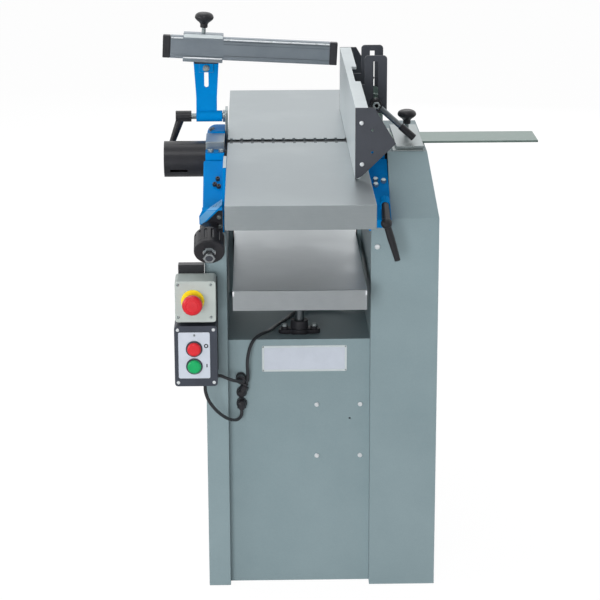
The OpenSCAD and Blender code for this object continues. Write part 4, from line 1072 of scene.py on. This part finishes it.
@dataclass
class ThicknessingBed:
    """The rising bed, its posts, guides, nuts and chain, and the pads and the near-black strips of painted
    shade beside it.
    """

    shop: Workshop
    front_y: float = -280.0
    top_z: float = 625.0
    sides_x: Tuple[float, float] = (-121.0, 129.0)
    pad_size: Tuple[float, float] = (3.0, 9.0)
    pad_thickness: float = 2.0
    pad_inset: float = 1.6
    pad_drop: float = 6.0
    gap_shade_inset: float = 1.5
    gap_shade_y: float = 161.0
    gap_shade_z: float = 609.0
    gap_shade_size: Tuple[float, float] = (2.0, 212.0)
    gap_shade_depth: float = 10.0
    post_x: float = 6.0
    post_y: float = 127.0
    ear_reach: float = 28.5
    ear_top: float = 510.0

    def build(self) -> None:
        """Dresses the bed and its lift, and adds the pads, the strips of painted shade in the gaps beside the
        bed and the guides' bolts.
        """
        shop = self.shop
        shop.dress("thicknesser_bed", BED_IRON, bevel_mm=1.6, segments=3)
        shop.dress("lift_posts", TURNED_STEEL_AND_GROOVE_SHADE, bevel_mm=0.8)
        shop.dress("post_flanges", BLACK_NYLON, bevel_mm=1.2)
        for node in ("lift_nut_front", "lift_nut_rear", "lift_chain"):
            shop.dress(node, TURNED_STEEL_AND_GROOVE_SHADE, bevel_mm=0.4)
        edges = tuple(zip(("left", "right"), (-1, 1), self.sides_x))
        pad = rounded(*self.pad_size, radius=1.2)
        gap_shade = rounded(*self.gap_shade_size, radius=0.5)
        for word, side, x in edges:
            place = facing((x - side * self.pad_inset, self.front_y, self.top_z - self.pad_drop), FRONT)
            shop.slab("bed_pad_" + word, pad, place, Trim(WHITE_PAD, "bed", "label_white"),
                      self.pad_thickness, bevel_mm=0.4)
        # Near-black strips in the gaps between the bed and the columns: painted shade standing in for the
        # dark throat behind
        for word, side, x in edges:
            place = facing((x + side * self.gap_shade_inset, self.gap_shade_y, self.gap_shade_z), FRONT)
            shop.slab("bed_wiper_" + word, gap_shade, place, Trim(BELT_RUBBER_AND_GAP_SHADE, "machine", "black_rubber"),
                      self.gap_shade_depth, bevel_mm=0.3)
        ears = [((self.post_x + side * self.ear_reach, end * self.post_y, self.ear_top), UP)
                for side in (-1, 1) for end in (-1, 1)]
        shop.heads("flange_bolts", HeadKind.HEX, ears, MACHINE_ZINC, width=12.5, height=5.0)


@dataclass
class InfeedAdjuster:
    """Slide bars of the infeed table, its depth scale, its depth knob and its lock.

    Attributes:
        shop: The workshop.
        way_y: Foot of the sloping ways, along the feed.
        way_z: Height of that foot.
        way_angle: Slope of the ways, in degrees.
        band: Outline of the depth scale on the left bar, across the machine and up the slope.
        mark_steps: Steps between the scale's marks.
        mark_span: Where a mark starts and ends, as shares of the scale's width.
        strip_at: Middle of the strip beside the table.
        strip_size: Width and length of that strip.
        plate_at: Middle of the depth plate's front, at its lower edge.
        cheek: Outline of the painted bracket in front of the depth plate.
        cheek_scale: The end of the scale on that bracket.
        lip_rise: Height of the bracket's lip above the lower edge.
        lip: Outline of the lip.
        lip_scale: The part of the scale on the lip.
        left_bolts: Bolts on the left bar, across the machine and down the slope.
        right_bolts: Bolts on the right bar.
        plate_nuts: Nuts on the depth plate, across the machine and up the plate.
        knob_x: The depth knob's axis.
        knob_rim: Distance and radius along the knob's outer rim.
        spindle_bore: Distance and radius of a dark disc in the bore of the spindle's end, painted shade in
            the bore.
    """

    shop: Workshop
    way_y: float = -84.0
    way_z: float = 830.0
    way_angle: float = 27.7
    band: Outline = ((-174.0, -149.5), (-169.5, -173.5), (-139.5, -129.5), (-139.5, -114.0))
    mark_steps: int = 13
    mark_span: Tuple[float, float] = (0.12, 0.5)
    strip_at: Point = (-134.2, -137.0, 838.0)
    strip_size: Tuple[float, float] = (6.0, 100.0)
    plate_at: Point = (0.0, -242.1, 735.7)
    cheek: Outline = ((-181.0, 10.5), (-175.0, 8.0), (-145.6, 43.9), (-175.6, 43.9), (-181.0, 30.5))
    cheek_scale: Outline = ((-179.2, 12.0), (-174.5, 12.0), (-150.4, 43.8), (-167.3, 43.8), (-179.2, 29.3))
    lip_rise: float = 44.0
    lip: Outline = ((175.2, -8.0), (138.3, -8.0), (138.3, 0.6), (175.2, 0.6))
    lip_scale: Outline = ((160.3, -7.9), (143.6, -7.9), (150.2, 0.5), (167.2, 0.5))
    left_bolts: Outline = ((-148.0, 58.0), (-153.5, 74.0), (-146.0, 80.0))
    right_bolts: Outline = ((151.0, 64.0), (151.0, 79.0), (166.0, 68.0))
    plate_nuts: Outline = ((-144.4, 28.5), (-142.5, 6.4))
    knob_x: float = -162.5
    knob_rim: Outline = ((58.0, 27.0), (59.4, 28.5), (63.6, 28.5), (65.2, 28.0), (66.2, 26.8), (66.4, 25.6),
                         (65.9, 24.2), (65.6, 0.0))
    spindle_bore: Outline = ((83.4, 7.0), (83.7, 6.6))

    def slope(self) -> Tuple[Point, Point]:
        """The direction out of the ways' sloping face, and the direction down the slope."""
        rise, run = sin(radians(self.way_angle)), cos(radians(self.way_angle))
        return (0.0, -rise, run), (0.0, -run, -rise)

    def on_bar(self, x: float, along: float) -> Point:
        """A point on the bars' top face, from the distance down the slope."""
        _, down = self.slope()
        return x, self.way_y + along * down[1], self.way_z + along * down[2]

    def build(self) -> None:
        """Dresses the bars, knob and lever, and adds the scale and the bolts."""
        shop = self.shop
        for node in ("infeed_bar_left", "infeed_bar_right"):
            shop.dress(node, BLUE_ENAMEL, bevel_mm=3.0, segments=3)
        shop.dress("depth_plate", BLACK_NYLON, bevel_mm=1.5)
        shop.dress("depth_knob", BLACK_NYLON, bevel_mm=1.2)
        shop.dress("depth_spindle", CHROME, bevel_mm=0.8)
        shop.dress("lock_lever", BLACK_NYLON, bevel_mm=1.0)
        self.scale()
        self.bracket()
        self.bolts()
        self.knob_end()

    def scale(self) -> None:
        """Adds the depth scale across the left bar, its marks, and the strip beside the table."""
        out, down = self.slope()
        plane = facing((0, self.way_y, self.way_z), out, tuple(-part for part in down))
        shop = self.shop
        shop.slab("depth_scale", self.band, plane, Trim(SCALE_STRIP, "infeed", "blue_paint"), thickness=0.6,
                  bevel_mm=0.15)
        black = Trim(BLACK_INK, "infeed", "black_plastic")
        for k in range(1, self.mark_steps):
            shop.slab(f"scale_mark_{k - 1}", self.mark(k / self.mark_steps), plane, black, thickness=0.75,
                      bevel_mm=0.0)
        strip = rounded(*self.strip_size, radius=0.8)
        shop.slab("table_strip", strip, facing(self.strip_at, UP, (0, 1, 0)),
                  Trim(FENCE_ALUMINIUM_AND_HIGHLIGHT, "infeed", "zinc"), thickness=1.0, bevel_mm=0.2)

    def mark(self, share: float, width: float = 0.5) -> Outline:
        """Gives the outline of one scale mark.

        Args:
            share: The mark's place, as a share of the scale's length.
            width: The mark's width in millimetres.

        Returns:
            The four corners of a thin line across the scale's nearer half.
        """
        corners = [Vector(corner) for corner in self.band]
        near, far = corners[0].lerp(corners[3], share), corners[1].lerp(corners[2], share)
        start, end = (near.lerp(far, reach) for reach in self.mark_span)
        side = (end - start).orthogonal().normalized() * width / 2
        return [tuple(start - side), tuple(end - side), tuple(end + side), tuple(start + side)]

    def bracket(self) -> None:
        """Adds the painted bracket and the end of the scale in front of the depth plate."""
        out, down = self.slope()
        front = facing(self.plate_at, down, out)
        top = facing(tuple(Vector(self.plate_at) + Vector(out) * self.lip_rise), out, down)
        painted, frosted = (Trim(finish, "infeed", "blue_paint") for finish in (BLUE_ENAMEL, SCALE_STRIP))
        shop = self.shop
        shop.slab("scale_bracket", self.cheek, front, painted, thickness=0.9, bevel_mm=0.3)
        shop.slab("scale_end", self.cheek_scale, front, frosted, thickness=1.2, bevel_mm=0.15)
        shop.slab("bracket_lip", self.lip, top, painted, thickness=0.6, bevel_mm=0.2)
        shop.slab("scale_lip", self.lip_scale, top, frosted, thickness=0.8, bevel_mm=0.1)

    def bolts(self) -> None:
        """Sets the bolts on both bars and the nuts on the depth plate."""
        out, down = self.slope()
        zinc = Trim(ZINC_PLATE, "infeed", "zinc")
        left = [(self.on_bar(x, along), out) for x, along in self.left_bolts]
        self.shop.heads("bar_bolts_left", HeadKind.SOCKET, left, Trim(BLACK_NYLON, "infeed", "black_plastic"),
                        width=8.5, height=6.0)
        right = [(self.on_bar(x, along), out) for x, along in self.right_bolts]
        self.shop.heads("bar_bolts_right", HeadKind.HEX, right, zinc, width=10.5, height=6.5)
        _, y, z = self.plate_at
        nuts = [((x, y + rise * out[1], z + rise * out[2]), down) for x, rise in self.plate_nuts]
        self.shop.heads("depth_plate_nuts", HeadKind.SOCKET, nuts, zinc, width=8.0, height=4.0)

    def knob_end(self) -> None:
        """Adds the depth knob's rounded rim, and a dark disc of painted shade in the bore of its spindle's
        end.
        """
        _, down = self.slope()
        root = (self.knob_x, *self.plate_at[1:])
        self.shop.lathe("depth_knob_rim", self.knob_rim, root, down,
                        Trim(BLACK_NYLON, "depth_adjuster", "black_plastic"))
        # A dark disc set in the spindle's bore: painted shade
        self.shop.lathe("spindle_bore", self.spindle_bore, root, down,
                        Trim(DARK_PLATE_AND_BORE_SHADE, "depth_adjuster", "black_plastic"))


@dataclass
class BridgeGuard:
    """The guard's mount, arm, clamp, beam, knob and lever.

    Attributes:
        shop: The workshop.
        pivot_y: The arm's axis, along the feed.
        clamp_x: Middle of the clamp, across the machine.
        beam_z: Height of the beam's middle there.
        beam_height: The beam's own height.
        beam_face: The beam's front face, along the feed.
        beam_ends: The beam's ends, from the clamp's middle.
        clamp_width: Width of the clamp along the beam.
        clamp_wall: How far the clamp stands in front of the beam's face.
        sag: How far the beam hangs down to the right, in degrees.
        groove_gap: Space between a line of painted groove shade and the clamp.
        end_inset: Space between a painted line and the beam's end.
        lip_inset: Space between a painted highlight on a lip and the clamp's end.
        line_thickness: Thickness of each painted line, shade and highlight alike.
        knob_seat: Height of the knob's foot above the beam.
        tab_at: Middle of the clamp's lower tab.
        tab_size: Width and height of the tab's face.
        teeth_at: Middle of the row of teeth.
        teeth_size: Width and height of that row.
        tab_bolt_at: Seat of the tab's bolt.
    """

    shop: Workshop
    pivot_y: float = 90.0
    clamp_x: float = -177.0
    beam_z: float = 1019.0
    beam_height: float = 44.0
    beam_face: float = 82.0
    beam_ends: Tuple[float, float] = (-64.0, 249.0)
    clamp_width: float = 78.0
    clamp_wall: float = 4.3
    sag: float = 3.0
    groove_gap: float = 1.0
    end_inset: float = 0.5
    lip_inset: float = 0.6
    line_thickness: float = 0.12
    knob_seat: float = 0.6
    tab_at: Point = (-172.0, 98.3, 979.6)
    tab_size: Tuple[float, float] = (27.6, 22.6)
    teeth_at: Point = (-172.0, 98.3, 987.6)
    teeth_size: Tuple[float, float] = (46.0, 4.6)
    tab_bolt_at: Point = (-172.0, 91.2, 977.0)

    def sagged(self) -> Matrix:
        """The beam's own frame: it hangs down a little to the right of the clamp."""
        return Matrix.Translation((self.clamp_x, 0, self.beam_z)) @ Matrix.Rotation(radians(self.sag), 4, "Y")

    def build(self) -> None:
        """Dresses the guard and adds the beam's lines of painted groove shade, the painted highlights on beam
        and clamp, the knob's stud and the bolts.
        """
        shop = self.shop
        shop.dress("guard_mount", ZINC_PLATE, bevel_mm=0.8)
        shop.dress("guard_arm", BLUE_ENAMEL, bevel_mm=1.6)
        shop.dress("guard_clamp", GUARD_ALUMINIUM, bevel_mm=1.4, segments=3)
        shop.dress("guard_beam", GUARD_ALUMINIUM, bevel_mm=2.6, segments=3)
        shop.dress("guard_caps", BLACK_NYLON, bevel_mm=1.6)
        shop.dress("guard_lever", BLACK_NYLON, bevel_mm=1.6)
        self.groove_shade_and_highlights()
        shop.slab("guard_tab_face", rounded(*self.tab_size, radius=1.5), facing(self.tab_at, FRONT),
                  Trim(BLUE_ENAMEL, "guard_head", "blue_paint"), thickness=0.6, bevel_mm=0.2)
        shop.slab("guard_teeth", rounded(*self.teeth_size, radius=0.6), facing(self.teeth_at, FRONT),
                  Trim(BLACK_NYLON, "guard_head", "black_plastic"), thickness=1.4, bevel_mm=0.3)
        shop.heads("guard_tab_bolt", HeadKind.HEX, [(self.tab_bolt_at, FRONT)],
                   Trim(ZINC_PLATE, "guard_head", "zinc"), width=12.0, height=3.0)
        beam = self.sagged()
        foot = beam @ Vector((0, self.pivot_y, self.beam_height / 2 + self.knob_seat))
        shop.knob("guard_knob", tuple(foot), tuple(beam.to_3x3() @ Vector(UP)), stud=17.0, head=22.0)

    def groove_shade_and_highlights(self) -> None:
        """Adds darker lines of painted shade where the beam's groove lines run, and strips of painted
        highlight along the beam's top edge and on the lips of its clamp.
        """
        left, right = self.beam_ends
        half_clamp = self.clamp_width / 2
        free = (half_clamp + self.groove_gap, right - self.end_inset)
        held = (-half_clamp + self.lip_inset, half_clamp - self.lip_inset)
        left_bit = (left + self.end_inset, -half_clamp - self.groove_gap)
        beam, lip = self.beam_face, self.beam_face - self.clamp_wall
        # Name, reach along the beam, height on its face, width, face and finish
        # The three groove rows are darker lines of painted shade; the edge and lip rows are strips of painted
        # highlight
        rows = (("beam_groove_high", free, 14.5, 0.9, beam, TURNED_STEEL_AND_GROOVE_SHADE),
                ("beam_groove_mid", free, 9.0, 0.7, beam, TURNED_STEEL_AND_GROOVE_SHADE),
                ("beam_groove_low", free, -13.5, 0.8, beam, TURNED_STEEL_AND_GROOVE_SHADE),
                ("beam_edge_right", free, 18.6, 3.0, beam, POLISHED_SCREW_AND_HIGHLIGHT),
                ("beam_edge_left", left_bit, 18.6, 3.0, beam, POLISHED_SCREW_AND_HIGHLIGHT),
                ("clamp_lip_high", held, 24.0, 7.0, lip, FENCE_ALUMINIUM_AND_HIGHLIGHT),
                ("clamp_lip_low", held, -19.2, 2.6, lip, POLISHED_SCREW_AND_HIGHLIGHT))
        for name, (x0, x1), z, high, face, finish in rows:
            place = self.sagged() @ facing(((x0 + x1) / 2, face, z), FRONT)
            trim = Trim(finish, "guard_bar" if name.startswith("beam") else "guard_head", "guard_aluminium")
            outline = rounded(x1 - x0, high, radius=high / 3)
            self.shop.slab(name, outline, place, trim, self.line_thickness, bevel_mm=0.0)


@dataclass
class Fence:
    """The fence, its carriage, guide, knob and lever."""

    shop: Workshop
    end_y: float = -353.0
    end_screws: Outline = ((113.0, 954.0), (114.0, 879.0))
    bolt: Tuple[float, float] = (155.5, 933.0)
    bolt_y: float = -77.1
    knob_foot: Point = (223.0, 44.0, 856.1)
    lever_y: float = -66.8
    lever_turn: float = 132.0
    lever_shaft: Outline = ((11.0, 5.7), (62.5, 5.7), (63.9, 5.0))

    def build(self) -> None:
        """Dresses the fence and its carriage, and adds the screws, the knob and the lever's shaft."""
        shop = self.shop
        shop.dress("fence_plate", FENCE_ALUMINIUM_AND_HIGHLIGHT, bevel_mm=0.8)
        shop.dress("fence_ends", DARK_PLATE_AND_BORE_SHADE, bevel_mm=0.7)
        shop.dress("fence_slot_plates", DARK_PLATE_AND_BORE_SHADE, bevel_mm=0.9)
        shop.dress("fence_sliders", TURNED_STEEL_AND_GROOVE_SHADE, bevel_mm=0.3)
        shop.dress("fence_carriage", DULL_ZINC, bevel_mm=0.6)
        shop.dress("fence_guide", ZINC_PLATE, bevel_mm=1.0, segments=3)
        shop.dress("fence_lever", BLACK_NYLON, bevel_mm=1.2)
        spots = [((x, self.end_y, z), FRONT) for x, z in self.end_screws]
        shop.heads("fence_end_screws", HeadKind.PAN, spots, Trim(POLISHED_SCREW_AND_HIGHLIGHT, "fence", "zinc"), width=8.0,
                   height=2.6)
        bolt_x, bolt_z = self.bolt
        shop.heads("fence_bolt_nut", HeadKind.HEX, [((bolt_x, self.bolt_y, bolt_z), FRONT)],
                   Trim(ZINC_PLATE, "carriage", "zinc"), width=15.0, height=5.4)
        shop.knob("fence_knob", self.knob_foot, UP, stud=16.8, head=20.0)
        along = (sin(radians(self.lever_turn)), 0.0, cos(radians(self.lever_turn)))
        shop.lathe("fence_lever_shaft", self.lever_shaft, (bolt_x, self.lever_y, bolt_z), along,
                   Trim(TURNED_STEEL_AND_GROOVE_SHADE, "fence_lock", "cutter_steel"))


@dataclass
class SwitchGear:
    """Switch boxes and buttons on the left column."""

    shop: Workshop
    stop_y: float = -282.0
    stop_screw_x: Tuple[float, float] = (-222.5, -161.5)
    stop_screw_z: Tuple[float, float] = (575.5, 638.0)
    mushroom_at: Point = (-195.0, -282.0, 607.0)
    mushroom_profile: Outline = (
        (-8, 11.9), (20, 11.9), (20.1, 15.6), (22, 16.8), (25, 18.5), (28, 18.95), (31.5, 18.9), (34, 18.3),
        (36, 17.0), (37.2, 15.2), (37.7, 13.2), (37.75, 12.2), (37.1, 11.8), (37.1, 10.6), (37.7, 10.2),
        (37.9, 6.0), (37.9, 0.0))
    start_y: float = -278.0
    start_screw_x: Tuple[float, float] = (-224.5, -157.5)
    start_screw_z: Tuple[float, float] = (446.5, 549.5)
    face_thickness: float = 1.2
    off_ring_at: Tuple[float, float] = (-171.5, 518.5)
    off_ring: Outline = ((0.0, 4.1), (0.15, 4.1))
    off_ring_middle: Outline = ((0.0, 2.1), (0.22, 2.1))
    on_bar_at: Tuple[float, float] = (-170.5, 480.0)
    on_bar_size: Tuple[float, float] = (2.0, 6.6)
    face_screw_at: Tuple[float, float] = (-193.5, 539.0)

    def build(self) -> None:
        """Dresses the boxes and buttons."""
        shop = self.shop
        shop.dress("switch_bracket", BLACK_NYLON, bevel_mm=1.0)
        shop.dress("stop_box", LIGHT_ABS, bevel_mm=3.0, segments=3, corner_mm=6.0)
        shop.dress("stop_collar", YELLOW_COLLAR, bevel_mm=0.8)
        self.mushroom()
        shop.dress("start_box", DARK_ABS, bevel_mm=3.0, segments=3, corner_mm=5.0)
        shop.dress("start_face", FACE_PLATE, bevel_mm=0.3, corner_mm=4.5)
        shop.dress("red_button", RED_BUTTON, bevel_mm=1.0)
        shop.dress("green_button", GREEN_BUTTON, bevel_mm=1.0)
        shop.dress("cable_glands", BLACK_NYLON, bevel_mm=0.8)
        stop = [((x, self.stop_y, z), FRONT) for x in self.stop_screw_x for z in self.stop_screw_z]
        shop.heads("stop_box_screws", HeadKind.PAN, stop, MACHINE_ZINC, width=5.5, height=0.9)
        start = [((x, self.start_y, z), FRONT) for x in self.start_screw_x for z in self.start_screw_z]
        shop.heads("start_box_screws", HeadKind.PAN, start, Trim(POLISHED_SCREW_AND_HIGHLIGHT, "machine", "zinc"),
                   width=6.4, height=1.0)
        self.symbols()

    def mushroom(self) -> None:
        """Replaces the emergency stop's button by a rounded head with a ring pressed into its top."""
        piece = self.shop.lathe("stop_button_head", self.mushroom_profile, self.mushroom_at, FRONT,
                                Trim(RED_BUTTON, "emergency_stop", "button_red"))
        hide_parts("stop_button")

    def on_face(self, spot: Tuple[float, float]) -> Point:
        """A point on the switch face, from its place across and its height."""
        return spot[0], self.start_y - self.face_thickness, spot[1]

    def symbols(self) -> None:
        """Adds the off ring, the on bar, and the small screw at the top of the switch face."""
        shop, black = self.shop, Trim(BLACK_INK, "machine", "black_plastic")
        ring = self.on_face(self.off_ring_at)
        shop.lathe("off_ring", self.off_ring, ring, FRONT, black)
        shop.lathe("off_ring_middle", self.off_ring_middle, ring, FRONT,
                   Trim(FACE_PLATE, "machine", "label_white"))
        bar = rounded(*self.on_bar_size, radius=0.4)
        shop.slab("on_bar", bar, facing(self.on_face(self.on_bar_at), FRONT), black, thickness=0.15,
                  bevel_mm=0.0)
        screw = [(self.on_face(self.face_screw_at), FRONT)]
        shop.heads("face_screw", HeadKind.PAN, screw, MACHINE_ZINC, width=4.2, height=0.8)


def main() -> None:
    """Builds the whole scene in order."""
    logging.basicConfig(level=logging.INFO, format="%(message)s")
    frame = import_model()
    bpy.context.scene.view_settings.view_transform = "Standard"
    shop = Workshop(frame)
    studio = Studio()
    studio.camera()
    Wiring(shop).build()
    studio.light()
    studio.floor()
    for assembly in (Cabinet(shop), SideFrames(shop), PlaningTables(shop), CutterDrive(shop),
                     ThicknessingBed(shop), InfeedAdjuster(shop), BridgeGuard(shop), Fence(shop),
                     SwitchGear(shop)):
        assembly.build()


if __name__ == "__main__":
    main()
